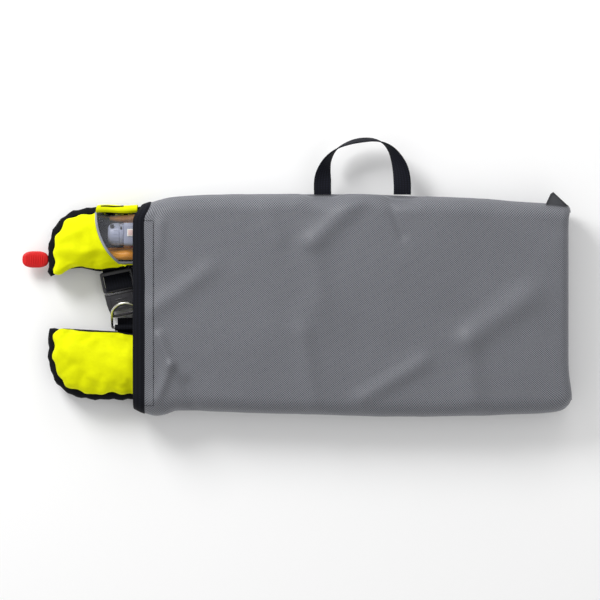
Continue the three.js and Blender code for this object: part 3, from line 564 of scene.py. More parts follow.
def buildBinding():
    b = binding
    rows = [(b["width"] - 2, -b["inside"]), (4, -b["inside"]), (0.6, -1.8), (-1.2, -0.4), (-0.8, 0.9),
            (1.2, b["outside"]), (6, b["outside"] + 0.2), (b["width"] - 1.5, b["outside"] - 0.1),
            (b["width"], 0.4)]

    def place(u, v):
        inX, off = rows[round(v * (len(rows) - 1))]
        wave = 0.8 * noise.noise(Vector((u * 19, 1, 4))) + 1.2 * math.sin(6.28 * (u - 0.2)) * (inX > 9)
        return bagSection(bag["mouth"] + inX + wave, u, 0, off)

    bm = gridMesh(220, len(rows) - 1, place, (770, 34))
    bmesh.ops.remove_doubles(bm, verts=bm.verts, dist=0.00003)
    bmesh.ops.recalc_face_normals(bm, faces=bm.faces)
    tape = addPiece("mouth_binding_tape", bm, look["webbing"], "bag", ["bag_mouth_binding"],
                    levels=1)
    wall = tape.modifiers.new("wall", "SOLIDIFY")
    wall.thickness, wall.offset = 0.5 * mm, 1
    seam = [bagSection(bag["mouth"] + b["width"] - 3, 0.275 + 0.45 * k / 60, 0, b["outside"] + 0.25)
            for k in range(61)]
    stitches("mouth_binding_seam", [seam], {"pitch": 3.4, "radius": 0.42}, look["handle"], "bag")


buildBinding()


def buildStripSeam():
    # the seam that shows where the hook strip is sewn behind the front cloth
    start, xs, top, low = -313, -298.5, 127.5, -149
    runs = [[(xs, low + (top - low) * k / 40) for k in range(41)]]
    runs += [[(start + (xs - start) * k / 6, y) for k in range(7)] for y in (top, low)]
    lines = [[Vector((x, y, surface(x, y) + 0.25)) for x, y in run] for run in runs]
    stitches("hook_strip_seam", lines, {"pitch": 2.6, "radius": 0.85}, look["webbing"], "bag")


buildStripSeam()


def buildTopSeam():
    # the seam of grey thread along the bag's upper front edge
    points = [bagSection(-306 + 612 * k / 89, 0.722, 0, 0.35) for k in range(90)]
    stitches("upper_edge_seam", [points], {"pitch": 3.6, "radius": 0.5}, look["piping"], "bag")


buildTopSeam()


def buildEar():
    # gusset corner folded into a small pocket that stands up from the closed end, its sunken floor given
    # black cloth as painted shade in the hollow
    bm = bmesh.new()
    ring = [bm.verts.new(Vector(p) * mm) for p in
            [(290, 151, 53), (324, 149, 53), (319, 153, 55), (300, 171, 52), (296, 168, 52), (289, 153, 53)]]
    face = bm.faces.new(ring)
    face.normal_update()
    if face.normal.z < 0:
        face.normal_flip()
    made = bmesh.ops.extrude_face_region(bm, geom=[face])
    low = [v for v in made["geom"] if isinstance(v, bmesh.types.BMVert)]
    bmesh.ops.translate(bm, verts=low, vec=(0, 0, 3 * mm))
    top = [f for f in bm.faces if f.normal.z > 0.5 and all(v in low for v in f.verts)]
    bmesh.ops.inset_region(bm, faces=top, thickness=1.7 * mm, depth=0, use_even_offset=True)
    # the sunken floor takes the black cloth: painted shade inside the pocket
    for f in top:
        f.material_index = 1
        bmesh.ops.translate(bm, verts=f.verts, vec=(0, -0.0006, -4.5 * mm))
    bmesh.ops.recalc_face_normals(bm, faces=bm.faces)
    bmesh.ops.bevel(bm, geom=[e for e in bm.edges if e.calc_face_angle(0) > 0.5], offset=0.4 * mm, segments=2,
                    profile=0.5, affect="EDGES", material=-1)
    addPiece("gusset_ear", bm, [look["bag"], look["black"]], "bag")


buildEar()


def buildTapes():
    for name, node in (("hook_tape", "hook_strip"), ("loop_tape", "loop_strip")):
        bm = copyNode(node)
        addPiece(name, bm, look["tape"], "bag", [node], bevel=0.3, sharp=30)


buildTapes()
print("bag ready")


# ---- carry handle: flat at both feet, turned on edge at the crown
handle = {"width": 26, "thickness": 1.8, "step": 2.5}


def buildHandle():
    z = 35
    centre = [(-45.5, 167.5), (-45.6, 186), (-43.4, 204), (-37, 221), (-24.8, 235.5), (-8, 244.3), (10, 249),
              (30, 250), (45, 245.7), (57, 236), (66, 221.5), (71.8, 205), (74.3, 186), (74.4, 167.5)]
    twist = [0, 7, 40, 68, 90, 101, 106, 101, 90, 72, 50, 26, 6, 0]
    sides = []
    for k, angle in enumerate(twist):
        a, b = centre[max(k - 1, 0)], centre[min(k + 1, len(centre) - 1)]
        ahead = Vector((b[0] - a[0], b[1] - a[1], 0)).normalized()
        level = Vector((-ahead.y, ahead.x, 0))
        a = math.radians(angle)
        sides.append(level * math.cos(a) + Vector((0, 0, 1)) * math.sin(a))
    ribbon("handle_webbing", [Vector((*p, z)) for p in centre], sides, handle, look["handle"], "handle",
           ["carry_handle"])
    runs = [[Vector((foot - 11 + 2.2 * k, line, z + 1)) for k in range(11)]
            for foot in bag["feet"] for line in (171.5, 175.5)]
    stitches("handle_foot_seams", runs, {"pitch": 3, "radius": 0.4}, look["webbing"], "handle")


buildHandle()
print("handle ready")


# ---- jacket cover
cover = {
    "tip": -458, "middle": 4, "length": 579, "halfWidth": 144, "shoulder": 86.4, "tipRun": 75, "endRun": 150,
    "neckTip": 41, "neckHalf": 60, "neckRun": 94, "collarWidth": 85, "neckWidens": 200,
    "seamX": -128, "seamHeight": 33.8, "band": 8, "wave": 1.9, "wavePitch": 27,
    "voxel": 4.5, "pressure": 4, "cap": 7, "frames": 20,
}


def bezier(a, b, c, d, count):
    a, b, c, d = Vector(a), Vector(b), Vector(c), Vector(d)
    ts = [k / count for k in range(1, count + 1)]
    return [a * (1 - t) ** 3 + b * 3 * t * (1 - t) ** 2 + c * 3 * t * t * (1 - t) + d * t ** 3 for t in ts]


def arc(centre, rx, ry, start, end, count):
    angles = [math.radians(start + (end - start) * k / count) for k in range(1, count + 1)]
    return [Vector((centre[0] + rx * math.cos(a), centre[1] + ry * math.sin(a))) for a in angles]


def jacketOutline(trim, corner=0, neck=0):  # round the whole jacket, from the upper tip's neck corner
    c = {**cover, "neckTip": cover["neckTip"] + neck, "neckHalf": cover["neckHalf"] + neck,
         "neckRun": cover["neckRun"] + neck}
    width, run, shoulder = c["halfWidth"] - trim, c["tipRun"], c["shoulder"] - corner
    neckEnd = c["length"] - c["collarWidth"] - cover["neckRun"]
    far = c["length"] - c["endRun"]
    points = [Vector((trim + corner, c["neckTip"] + 1)), Vector((trim, c["neckTip"] + 2 + corner)),
              Vector((trim, shoulder))]
    points += bezier((trim, shoulder), (trim + 5, 0.9 * width), (0.45 * run, width), (run, width), 12)
    points += [Vector((run + (far - run) * k / 12, width)) for k in range(1, 13)]
    points += arc((far, 0), c["endRun"] - trim, width, 90, -90, 40)
    points += [Vector((far + (run - far) * k / 12, -width)) for k in range(1, 13)]
    points += bezier((run, -width), (0.45 * run, -width), (trim + 5, -0.9 * width), (trim, -shoulder), 12)
    points += [Vector((trim, -c["neckTip"] + 1 - corner)), Vector((trim + corner, -c["neckTip"] + 3)),
               Vector((110, -c["neckTip"] - 3)), Vector((c["neckWidens"], -c["neckHalf"])),
               Vector((neckEnd, -c["neckHalf"]))]
    points += arc((neckEnd, 0), c["neckRun"], c["neckHalf"], -90, 90, 22)
    points += [Vector((c["neckWidens"], c["neckHalf"])), Vector((run + 50, c["neckTip"] + 15.5)),
               Vector((run, c["neckTip"] + 8)), Vector((0.65 * run, c["neckTip"] + 14)),
               Vector((0.4 * run + trim, c["neckTip"] + 12))]
    return [p + Vector((c["tip"], c["middle"])) for p in points]


def resampled(points, spacing):  # the closed outline again, in even steps
    loop = points + points[:1]
    lengths = [(b - a).length for a, b in zip(loop, loop[1:])]
    count = int(sum(lengths) / spacing)
    out, k, gone = [], 0, 0.0
    for n in range(count):
        wanted = sum(lengths) * n / count
        while gone + lengths[k] < wanted:
            gone += lengths[k]
            k += 1
        out.append(loop[k].lerp(loop[k + 1], (wanted - gone) / lengths[k]))
    return out


def wavy(points, height, pitch):  # shallow scallops along the outer side, where cloth is gathered on its band
    out, gone = [], 0.0
    for k, p in enumerate(points):
        ahead = (points[(k + 1) % len(points)] - points[k - 1]).normalized()
        outward = Vector((-ahead.y, ahead.x))
        gone += (p - points[k - 1]).length if k else 0
        outer = abs(p.y - cover["middle"]) > 76 or p.x < cover["tip"] + 22
        wave = math.sin(gone / pitch * 2 * math.pi) + 0.6 * math.sin(gone / pitch * 3.7 + 1)
        out.append(p + outward * height * wave * outer)
    return out


def outlineFace(points, z):
    bm = bmesh.new()
    face = bm.faces.new([bm.verts.new(Vector((*p, z)) * mm) for p in points])
    face.normal_update()
    if face.normal.z < 0:
        face.normal_flip()
    return bm, face


def stepIn(bm, face, steps, even=True):  # draws a face in and moves it up, step by step
    for inward, up in steps:
        bmesh.ops.inset_region(bm, faces=[face], thickness=inward * mm, use_boundary=True,
                               use_even_offset=even)
        bmesh.ops.translate(bm, verts=face.verts, vec=(0, 0, up * mm))


def remeshed(bm, voxel):
    mesh = bpy.data.meshes.new("rough")
    bm.to_mesh(mesh)
    bm.free()
    rough = bpy.data.objects.new("rough", mesh)
    scene.collection.objects.link(rough)
    remesh = rough.modifiers.new("remesh", "REMESH")
    remesh.mode, remesh.voxel_size = "VOXEL", voxel * mm
    bpy.context.view_layer.update()
    made = bpy.data.meshes.new_from_object(rough.evaluated_get(bpy.context.evaluated_depsgraph_get()))
    bpy.data.objects.remove(rough)
    return made


def inflated(mesh, heldBelow):
    # cloth blown up by air from inside, held along its lower edge
    pad = bpy.data.objects.new("pad", mesh)
    scene.collection.objects.link(pad)
    held = pad.vertex_groups.new(name="held")
    held.add([v.index for v in mesh.vertices if v.co.z < heldBelow * mm], 1, "REPLACE")
    cloth = pad.modifiers.new("cloth", "CLOTH")
    cloth.settings.use_pressure = True
    cloth.settings.uniform_pressure_force = cover["pressure"]
    cloth.settings.vertex_group_mass = "held"
    cloth.settings.effector_weights.gravity = 0
    cloth.settings.quality = 6
    cloth.settings.shrink_min = -0.04  # the cloth is cut a little large, so it wrinkles
    for step in range(1, cover["frames"] + 1):
        scene.frame_set(step)
    blown = pad.evaluated_get(bpy.context.evaluated_depsgraph_get()).data
    for vert, new in zip(mesh.vertices, blown.vertices):
        move = new.co - vert.co
        vert.co += move * min(1, cover["cap"] * mm / max(move.length, 1e-9))
    bpy.data.objects.remove(pad)
    scene.frame_set(1)
    return mesh


window = {"middle": (-310, 142), "rx": 75.5, "ry": 92, "low": 65, "piping": 1.9}


def windowShare(x, y):  # under 1 inside the window's curve
    (cx, cy), rx, ry = window["middle"], window["rx"], window["ry"]
    return ((x - cx) / rx) ** 2 + (min(y - cy, 0) / ry) ** 2


# folds and dips in the bright cover: start, end, width, height
cover["creases"] = [
    ((-442, 98), (-412, 112), 6, 1.8), ((-452, 74), (-428, 68), 8, -2), ((-404, 62), (-386, 74), 8, -1.8),
    ((-430, 122), (-405, 90), 7, -1.5), ((-400, 128), (-396, 96), 5, 1.2),
    ((-440, 84), (-400, 82), 9, 1.6), ((-448, -60), (-410, -78), 9, 1.8),
    ((-440, -104), (-420, -88), 6, -2), ((-416, -128), (-404, -104), 6, -1.8),
    ((-384, -136), (-378, -108), 6, -1.8), ((-360, -136), (-352, -104), 7, -1.5),
    ((-400, -50), (-350, -64), 9, -1.4), ((-452, -44), (-430, -46), 5, -1.6),
    ((-390, -84), (-345, -96), 12, 1.6),
]


def softCreases(x, y):
    return creaseHeight(cover["creases"], x, y) + 0.9 * noise.noise(Vector((x / 24, y / 24, 5)))


def frontMesh():
    # the whole bright front as one blown-up form, ready to be cut at its seams
    points = wavy(resampled(jacketOutline(cover["band"], 6), 6), cover["wave"], cover["wavePitch"])
    bm, face = outlineFace(points, cover["seamHeight"])
    under = face.copy()
    under.normal_flip()
    for inward, up in [(0.01, 8), (2.5, 7), (5, 4.5), (8, 2)]:
        stepIn(bm, face, [(inward, up)])
    bmesh.ops.triangulate(bm, faces=[f for f in bm.faces if len(f.verts) > 4])
    bmesh.ops.remove_doubles(bm, verts=bm.verts, dist=0.00001)
    mesh = remeshed(bm, cover["voxel"])
    mesh = inflated(mesh, cover["seamHeight"] + 1.5)
    bm = bmesh.new()
    bm.from_mesh(mesh)
    bpy.data.meshes.remove(mesh)
    floor = (cover["seamHeight"] + 1) * mm
    low = [f for f in bm.faces if f.calc_center_median().z < floor and f.normal.z < -0.3]
    bmesh.ops.delete(bm, geom=low, context="FACES")

    def smooth(factor):
        bmesh.ops.smooth_vert(bm, verts=[v for v in bm.verts if not v.is_boundary], factor=factor,
                              use_axis_x=True, use_axis_y=True, use_axis_z=True)

    smooth(0.4)
    bmesh.ops.subdivide_edges(bm, edges=bm.edges, cuts=1, use_grid_fill=True)
    smooth(0.5)
    smooth(0.5)
    for v in bm.verts:
        x, y, z = v.co / mm
        v.co.z += softCreases(x, y) * mm * min(max((z - 36) / 16, 0), 1)
    return bm


front = frontMesh()
print("front blown up")


def cutFront(name, node, planes, inWindow=None, material=look["yellow"],
             thickness=0.9):
    bm = front.copy()
    for point, normal in planes:
        bmesh.ops.bisect_plane(bm, geom=bm.verts[:] + bm.edges[:] + bm.faces[:], plane_co=Vector(point) * mm,
                               plane_no=normal, clear_outer=True)
    if inWindow is not None:
        def isIn(face):
            x, y, z = face.calc_center_median() / mm
            return windowShare(x, y) < 1 and y > window["low"] and z > cover["seamHeight"] + 2
        bmesh.ops.delete(bm, geom=[f for f in bm.faces if isIn(f) != inWindow], context="FACES")
        for v in bm.verts:  # the cut edge is drawn on to the window's line
            x, y, z = v.co / mm
            if v.is_boundary and abs(windowShare(x, y) - 1) < 0.14 and y > window["low"] - 2 and y < 141:
                (cx, cy), pull = window["middle"], math.sqrt(windowShare(x, y))
                v.co.x, v.co.y = (cx + (x - cx) / pull) * mm, (cy + (y - cy) / pull) * mm
            elif v.is_boundary and abs(y - window["low"]) < 2.4 and windowShare(x, y) < 1.1:
                v.co.y = window["low"] * mm
    return addPiece(name, bm, material, "jacket", [node], thickness=thickness)


seam, half = cover["seamX"], 0.4
outward = ((seam - half, 0, 0), (1, 0, 0))
above, below = ((0, 4, 0), (0, -1, 0)), ((0, 4, 0), (0, 1, 0))
upperLobe = cutFront("upper_lobe_cover", "cover_upper_lobe", [outward, above], inWindow=False)
lowerLobe = cutFront("lower_lobe_cover", "cover_lower_lobe", [outward, below])
collar = cutFront("collar_cover", "cover_collar", [((seam + half, 0, 0), (-1, 0, 0))])
cutFront("window_vinyl", "window_pane", [outward, above], inWindow=True, material=look["vinyl"],
         thickness=0.4)


frontTree = BVHTree.FromBMesh(front)


def coverHeight(x, y, fallback=46):
    hit = frontTree.ray_cast(Vector((x, y, 100)) * mm, Vector((0, 0, -1)))[0]
    return hit.z / mm if hit else fallback


def buildPiping():
    (cx, cy), rx, ry, low = window["middle"], window["rx"], window["ry"], window["low"]
    dip = math.degrees(math.asin((cy - low) / ry))
    angles = [math.radians(dip * k / 22) for k in range(23)]
    left = [Vector((cx - rx * math.cos(a), cy - ry * math.sin(a))) for a in angles]
    path, previous = [], 40
    for p in left + [Vector((2 * cx - p.x, p.y)) for p in reversed(left)]:
        previous = coverHeight(p.x, min(p.y, 138), previous)
        path.append(Vector((p.x, min(p.y, 141), previous + 0.2)))
    bm = tubeMesh(path, window["piping"])
    addPiece("window_edge_piping", bm, look["piping"], "jacket", ["window_piping"])


buildPiping()


def buildBackCover():
    # black back of the cover: a shallow pan whose gathered rim shows round the bright front
    points = wavy(resampled(jacketOutline(0, 3), 7), 0.9, 21)
    middle = 21
    bm, face = outlineFace(points, middle)
    rim = face.copy()
    stepIn(bm, face, [(0.5, 6), (2.2, 5), (5.2, 3.2), (3.4, -0.6)], even=False)
    bmesh.ops.delete(bm, geom=[face], context="FACES_ONLY")
    stepIn(bm, rim, [(0.6, -5), (1.6, -4.5), (2.4, -3), (2.4, -0.7)], even=False)
    bmesh.ops.remove_doubles(bm, verts=bm.verts, dist=0.00002)
    bmesh.ops.triangulate(bm, faces=[f for f in bm.faces if len(f.verts) > 4], ngon_method="EAR_CLIP")
    bmesh.ops.recalc_face_normals(bm, faces=bm.faces)
    below = min(bm.faces, key=lambda f: f.calc_center_median().z)
    if below.normal.z > 0:
        bmesh.ops.reverse_faces(bm, faces=bm.faces)
    back = addPiece("back_cover_cloth", bm, look["black"], "jacket", ["cover_back"],
                    thickness=1.2)


buildBackCover()
print("cover ready")


# ---- closure tab over the upper edge
def buildTab():
    x0, x1 = -386, -323
    edge = [(139.5, 52), (142.5, 57), (147, 57.3), (150.6, 54), (151.6, 44), (150.2, 31), (148.8, 22)]

    def place(u, v):
        y, z = along(edge, v)
        return x0 + (x1 - x0) * u + 4 * v * (1 - u), y + 0.7 * math.sin(7 * u), z + 0.8 * math.sin(9 * u + 2)

    tab = addPiece("closure_tab_cloth", gridMesh(26, 18, place, (69, 45)), look["yellow"], "jacket",
                   ["closure_tab"], thickness=1.2, levels=1)
    slit = [Vector((x, 149.4 + 0.5 * math.sin((x + 378) / 5), 56)) for x in range(-378, -343, 2)]
    addPiece("closure_tab_slit", tubeMesh(slit, 1.1), look["black"], "jacket")
    runs = [[Vector((x0 + 6 + 3 * k, 142.4, 57.8)) for k in range(20)]]
    stitches("closure_tab_seam", runs, {"pitch": 2.8, "radius": 0.35}, look["yellow"], "jacket")


buildTab()


# ---- folded bladder and the inflator seen through the window
def buildBladder():
    bm, face = outlineFace(resampled(jacketOutline(13, 5, 9), 9), 10.2)
    under = face.copy()
    stepIn(bm, face, [(0.2, 2.6), (1.2, 2.6), (2.4, 1.4)], even=False)
    stepIn(bm, under, [(1.5, -0.3)], even=False)
    bmesh.ops.remove_doubles(bm, verts=bm.verts, dist=0.00002)
    bmesh.ops.triangulate(bm, faces=[f for f in bm.faces if len(f.verts) > 4], ngon_method="EAR_CLIP")
    bmesh.ops.recalc_face_normals(bm, faces=bm.faces)
    body = addPiece("folded_bladder", bm, look["orange"], "jacket", ["bladder"])
    # rolled folds of the bladder beside the inflator: middle, half width, height, ends along X
    rolls = {"bladder_fold_upper": (132.5, 6.5, 26, -366, -240),
             "bladder_fold_lower": (77, 11.5, 27, -372, -225)}
    for name, (middle, half, height, x0, x1) in rolls.items():
        def place(u, v):
            x = x0 + (x1 - x0) * u
            end = math.sin(math.pi * min(max(u, 0.02), 0.98)) ** 0.25
            a = math.pi * v
            wave = 2.2 * noise.noise(Vector((x / 16, 9 * v, middle)))
            return (x, middle - half * math.cos(a) * end + 0.8 * math.sin(x / 9),
                    17.8 + (height * math.sin(a) ** 0.7 + wave * math.sin(a)) * end)
        roll = addPiece(name, gridMesh(60, 16, place, (x1 - x0, 3 * half)), look["orange"], "jacket",
                        thickness=0.8)


buildBladder()


def buildShadeSheet():
    # black cloth sheet laid left of the inflator to darken the zone there: painted shade
    def place(u, v):
        x, y = -398 + 52 * u, 88 + 46 * v
        return x, y, 18 + 10 * max(0, 1 - u / 0.6) ** 2 + 0.8 * noise.noise(Vector((x / 12, y / 12, 2)))
    shadeSheet = addPiece("inflator_painted_shade_cloth", gridMesh(20, 20, place, (52, 46)), look["black"], "jacket",
                     thickness=0.8)


buildShadeSheet()

# hard parts keep their CAD shape, with worked edges: node, new name, body, slot, look, bevel
hardParts = [
    ("inflator_body", "inflator_housing", "jacket", "grey_plastic", "greyPlastic", 1.6),
    ("firing_lever", "firing_lever_arm", "lever", "red_plastic", "redPlastic", 0.6),
    ("bladder_manifold", "manifold_flange", "jacket", "black_plastic", "blackPlastic", 0.3),
    ("manifold_nut", "manifold_hex_nut", "jacket", "stainless_steel", "steel", 0.4),
    ("oral_flange", "oral_tube_flange", "jacket", "black_plastic", "blackPlastic", 0.3),
    ("dust_cap", "oral_tube_cap", "dust_cap", "black_plastic", "blackPlastic", 0.3),
    ("whistle", "whistle_shell", "jacket", "orange_plastic", "orangePlastic", 0.3),
    ("buckle_male", "buckle_frame", "jacket", "black_plastic", "blackPlastic", 0.7),
    ("buckle_female", "buckle_housing", "jacket", "black_plastic", "blackPlastic", 0.5),
    ("buckle_prong_left", "buckle_spring_left", "prong_left", "black_plastic", "blackPlastic", 0.4),
    ("buckle_prong_right", "buckle_spring_right", "prong_right", "black_plastic", "blackPlastic", 0.4),
    ("belt_slider", "strap_slider", "slider", "black_plastic", "blackPlastic", 0.4),
    ("lever_pin", "lever_pivot_pin", "jacket", "stainless_steel", "steel", 0.3),
]
for node, name, body, slot, finish, bevel in hardParts:
    addPiece(name, copyNode(node), look[finish], body, [node], bevel=bevel, sharp=35)
for node, finish in [("sensor_bobbin", "paper"), ("firing_pin", "steel"), ("co2_cylinder", "zinc"),
                     ("oral_valve", "orange"), ("oral_tube", "blackPlastic")]:
    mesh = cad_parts[node].data
    mesh.materials.clear()
    mesh.materials.append(look[finish])


def lathe(name, profile, centre, material, body, nodes=()):
    # profile of (along X, radius) points spun round the X axis through the centre
    bm = bmesh.new()
    verts = [bm.verts.new(Vector((x, r, 0)) * mm) for x, r in profile]
    edges = [bm.edges.new(pair) for pair in zip(verts, verts[1:])]
    bmesh.ops.spin(bm, geom=verts + edges, axis=(1, 0, 0), cent=(0, 0, 0), dvec=(0, 0, 0),
                   angle=2 * math.pi, steps=48, use_merge=True)
    bmesh.ops.remove_doubles(bm, verts=bm.verts, dist=0.00001)
    bmesh.ops.recalc_face_normals(bm, faces=bm.faces)
    bmesh.ops.translate(bm, verts=bm.verts, vec=Vector(centre) * mm)
    return addPiece(name, bm, material, body, nodes, sharp=40)


def box(name, low, high, material, body, nodes=(), bevel=0.3, turn=None):
    bm = bmesh.new()
    bmesh.ops.create_cube(bm, size=1)
    low, high = Vector(low), Vector(high)
    bmesh.ops.scale(bm, vec=(high - low) * mm, verts=bm.verts)
    bmesh.ops.translate(bm, vec=(low + high) / 2 * mm, verts=bm.verts)
    if turn:
        bmesh.ops.transform(bm, matrix=turn, verts=bm.verts)
    bmesh.ops.bevel(bm, geom=bm.edges, offset=bevel * mm, segments=3, profile=0.5, affect="EDGES",
                    material=-1)
    return addPiece(name, bm, material, body, nodes, sharp=40)


def buildInflatorDetails():
    low, high = corners("sensor_cap")
    axis = (low + high) / 2
    r, end = (high.y - low.y) / 2, high.x
    start = low.x - end
    lathe("sensor_cap_shell", [(start, 0), (start, 0.62 * r), (start + 1.6, 0.82 * r), (start + 4, 0.93 * r),
                               (start + 8, r), (-7, r), (-6.4, r - 0.8), (-5.6, r - 0.8), (-5, r),
                               (-1, r), (0, r - 0.8), (0, r - 3), (start + 9, r - 4),
                               (start + 4, 0.5 * r), (start + 3, 0)],
          (end, axis.y, axis.z), look["greyPlastic"], "sensor_cap", ["sensor_cap"])
    # grip ribs round the cap
    bm = bmesh.new()
    for k in range(20):
        turn = Matrix.Rotation(2 * math.pi * k / 20, 4, "X")
        spot = Matrix.Translation((end - 10.5, axis.y, axis.z)) @ turn @ Matrix.Translation((0, 0, r - 0.1))
        bmesh.ops.create_cube(bm, size=1, matrix=spot @ Matrix.Diagonal((8, 1.1, 1.0, 1)))
    bmesh.ops.scale(bm, vec=(mm, mm, mm), verts=bm.verts)
    addPiece("sensor_cap_ribs", bm, look["greyPlastic"], "sensor_cap", bevel=0.25, sharp=30)
    top = axis.z + r
    box("sensor_cap_vent", (end - 20, 117, top - 2.6), (end - 14.5, 122.5, top - 0.8), look["blackPlastic"],
        "sensor_cap", bevel=0.6)
    low, high = corners("status_indicator")
    box("status_frame", (low.x - 1.4, low.y - 1.4, low.z - 0.3), (high.x + 1.4, high.y + 1.4, low.z + 0.6),
        look["paper"], "jacket", bevel=0.25)
    box("status_flag", low, high + Vector((0, 0, 0.1)), look["rosePlastic"], "jacket",
        ["status_indicator"], bevel=0.4)
    # small moulded oval on the cap, by the joint
    x = corners("inflator_body")[0].x
    bm = bmesh.new()
    spot = Matrix.Translation(Vector((x - 4, 117, top - 1.2)) * mm)
    bmesh.ops.create_uvsphere(bm, u_segments=16, v_segments=8, radius=1,
                              matrix=spot @ Matrix.Diagonal((1.3 * mm, 3 * mm, 1 * mm, 1)))
    addPiece("sensor_cap_mark", bm, look["blackPlastic"], "sensor_cap")


buildInflatorDetails()
print("inflator ready")


# ---- red pull toggle with grip ribs, and its lanyard
def buildToggle():
    low, high = corners("pull_toggle")
    middle, size = (low + high) / 2, high - low
    outline = []
    for k in range(48):
        a = 2 * math.pi * k / 48
        c, s = math.cos(a), math.sin(a)
        outline.append(Vector((middle.x + size.x / 2 * math.copysign(abs(c) ** 0.7, c),
                               middle.y + size.y / 2 * math.copysign(abs(s) ** 0.8, s))))
    bm, face = outlineFace(outline, middle.z)
    under = face.copy()
    steps = [(0.1, 1.6), (0.6, 1.1), (1.1, 0.8), (2, 0.3)]
    stepIn(bm, face, steps)
    stepIn(bm, under, [(a, -b) for a, b in steps])
    bmesh.ops.remove_doubles(bm, verts=bm.verts, dist=0.00001)
    bmesh.ops.recalc_face_normals(bm, faces=bm.faces)
    addPiece("toggle_grip", bm, look["redPlastic"], "pull", ["pull_toggle"], sharp=50)
    bm = bmesh.new()
    for side in (-1, 1):
        for k in range(9):
            x = low.x + 6.5 + 3.4 * k
            reach = size.y * (0.32 if k in (0, 8) else 0.40)
            spot = Matrix.Translation((x, middle.y, middle.z + side * 3.9))
            bmesh.ops.create_uvsphere(bm, u_segments=8, v_segments=6, radius=1,
                                      matrix=spot @ Matrix.Diagonal((1.0, reach, 1.3, 1)))
    bmesh.ops.scale(bm, vec=(mm, mm, mm), verts=bm.verts)
    addPiece("toggle_ribs", bm, look["redPlastic"], "pull")
    low, high = corners("pull_lanyard")
    y, z = (low.y + high.y) / 2, (low.z + high.z) / 2
    points = [Vector((low.x - 6 + (high.x - low.x + 6) * k / 40, y, z)) for k in range(41)]
    addPiece("lanyard_cord", tubeMesh(points, 1.5), look["cord"], "pull", ["pull_lanyard"])


buildToggle()


# ---- belt, buckle webbing and D-ring
belt = {"width": 40, "thickness": 1.6, "step": 3}
buckle = {"place": (-358, 54), "tilt": 12, "height": 16}


def buckleSpot(x, y, z):
    turn = Matrix.Rotation(math.radians(buckle["tilt"]), 3, "Z")
    return turn @ Vector((x, y, z)) + Vector((*buckle["place"], 0))


def buildBelt():
    web, slot = look["webbing"], "black_webbing"
    z = 6.45
    strap = [(37, z), (24, z), (12, z), (3, z + 1), (-5, 11), (-11, 13.2), (-18, 17.4), (-24, 20.6),
             (-29.5, 21.2)]
    across = [buckleSpot(1, 0, 0) - buckleSpot(0, 0, 0)] * len(strap)
    ribbon("buckle_strap", [buckleSpot(0, y, h) for y, h in strap], across, belt, web, "jacket",
           ["belt_upper"])
    low, high = corners("belt_lower")
    x, start = (low.x + high.x) / 2, high.y
    lower = [(start, 11.3), (start - 6, 11.6), (-26, 11.3), (-36, 10.9), (-44, 8.3), (-53, 6.6),
             (-70, z), (low.y, z)]
    ribbon("lower_strap", [Vector((x, y, h)) for y, h in lower], [Vector((1, 0, 0))] * len(lower), belt, web,
           "jacket", ["belt_lower"])
    for name, node in (("side_belt_upper", "belt_side_upper"), ("side_belt_lower", "belt_side_lower"),
                       ("rear_belt_web", "rear_belt"), ("back_strap_web", "back_strap")):
        low, high = corners(node)
        middle, size = (low + high) / 2, high - low
        alongX = size.x > size.y and node != "rear_belt"
        run = Vector((size.x, 0, 0)) if alongX else Vector((0, size.y, 0))
        points = [middle + run * (k / 10 - 0.5) for k in range(11)]
        side = Vector((0, 1, 0)) if alongX else Vector((1, 0, 0))
        shape = {**belt, "width": size.y if alongX else size.x}
        ribbon(name, points, [side] * 11, shape, web, "jacket", [node])
    # keeper over the ring's bar
    low, high = corners("d_ring_keeper")
    bar = Vector(((low.x + high.x) / 2, -33, 15.4))
    hoop = [bar + Vector((0, 3.9 * math.cos(a), 3.9 * math.sin(a)))
            for a in [math.radians(-25 + 230 * k / 16) for k in range(17)]]
    ribbon("ring_keeper", hoop, [Vector((1, 0, 0))] * 17, {**belt, "width": high.x - low.x, "step": 1}, web,
           "jacket", ["d_ring_keeper"])
    # patch on the crossing, with its seam
    addPiece("crossing_patch", copyNode("back_patch"), look["black"], "jacket", ["back_patch"],
             bevel=0.4, sharp=30)
    runs = [[Vector((x - 17 + 3.4 * k, y, 7.5)) for k in range(11)] for y in (-87, -81, -60)]
    runs.append([buckleSpot(-17 + 3.4 * k, -27.5, 22.1) for k in range(11)])
    stitches("belt_seams", runs, {"pitch": 3, "radius": 0.4}, look["handle"], "jacket")


buildBelt()


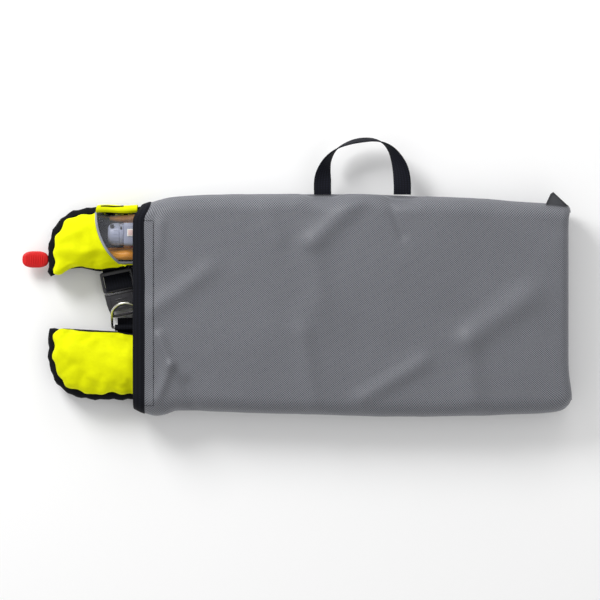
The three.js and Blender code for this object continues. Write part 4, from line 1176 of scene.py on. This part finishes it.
def buildRing():
    low, high = corners("d_ring")
    bar, tilt, half, rise = Vector(((low.x + high.x) / 2, -33, 15.4)), math.radians(35), 22, 24
    flat = [(-half + 3 + (2 * half - 6) * k / 12, 0) for k in range(13)]
    flat += [(half - 0.9, 0.8), (half, 3)] + [(half, 3 + (rise - 3) * k / 6) for k in range(1, 7)]
    flat += [(half * math.cos(math.radians(180 * k / 28)), rise + half * math.sin(math.radians(180 * k / 28)))
             for k in range(1, 28)]
    flat += [(-half, rise - (rise - 3) * k / 6) for k in range(7)] + [(-half + 0.9, 0.8)]
    turn = Matrix.Rotation(tilt, 3, "X")
    path = [bar + turn @ Vector((x, y, 0)) for x, y in flat]
    addPiece("belt_ring", tubeMesh(path, 1.9, closed=True), look["steel"], "ring",
             ["d_ring"])


buildRing()


def buildBuckleDetails():
    shift = Matrix.Translation(Vector((*buckle["place"], 0)) * mm)
    turn = shift @ Matrix.Rotation(math.radians(buckle["tilt"]), 4, "Z")
    top = buckle["height"]
    for k in range(4):  # grip ridges on the housing
        y = -44 - 4.2 * k
        box(f"housing_ridge_{k + 1}", (-9 + 0.6 * k, y - 0.9, top + 6.1), (9 - 0.6 * k, y + 0.9, top + 7.3),
            look["blackPlastic"], "jacket", bevel=0.45, turn=turn)
    box("housing_lip", (-22.5, -36.6, top + 5.9), (22.5, -34.4, top + 7.5), look["blackPlastic"], "jacket",
        bevel=0.6, turn=turn)
    for side in (-1, 1):
        box(f"housing_rail_{'left' if side < 0 else 'right'}", (side * 17.5 - 1, -62, top + 6),
            (side * 17.5 + 1, -38, top + 7.1), look["blackPlastic"], "jacket",
            bevel=0.45, turn=turn)


buildBuckleDetails()


def buildWhistleCord():
    low, high = corners("whistle_cord")
    start = Vector((low.x + 1, high.y - 1, low.z + 1))
    end = Vector((low.x + 5, low.y + 1, high.z - 1))
    points = [start, start + Vector((6, 0, 1)), start + Vector((9.5, -4, 4)), end + Vector((3, 3, 0)), end]
    path = [along(points, k / 24) for k in range(25)]
    addPiece("whistle_cord_loop", tubeMesh(path, 1), look["webbing"], "jacket",
             ["whistle_cord"])


buildWhistleCord()
print("belt ready")
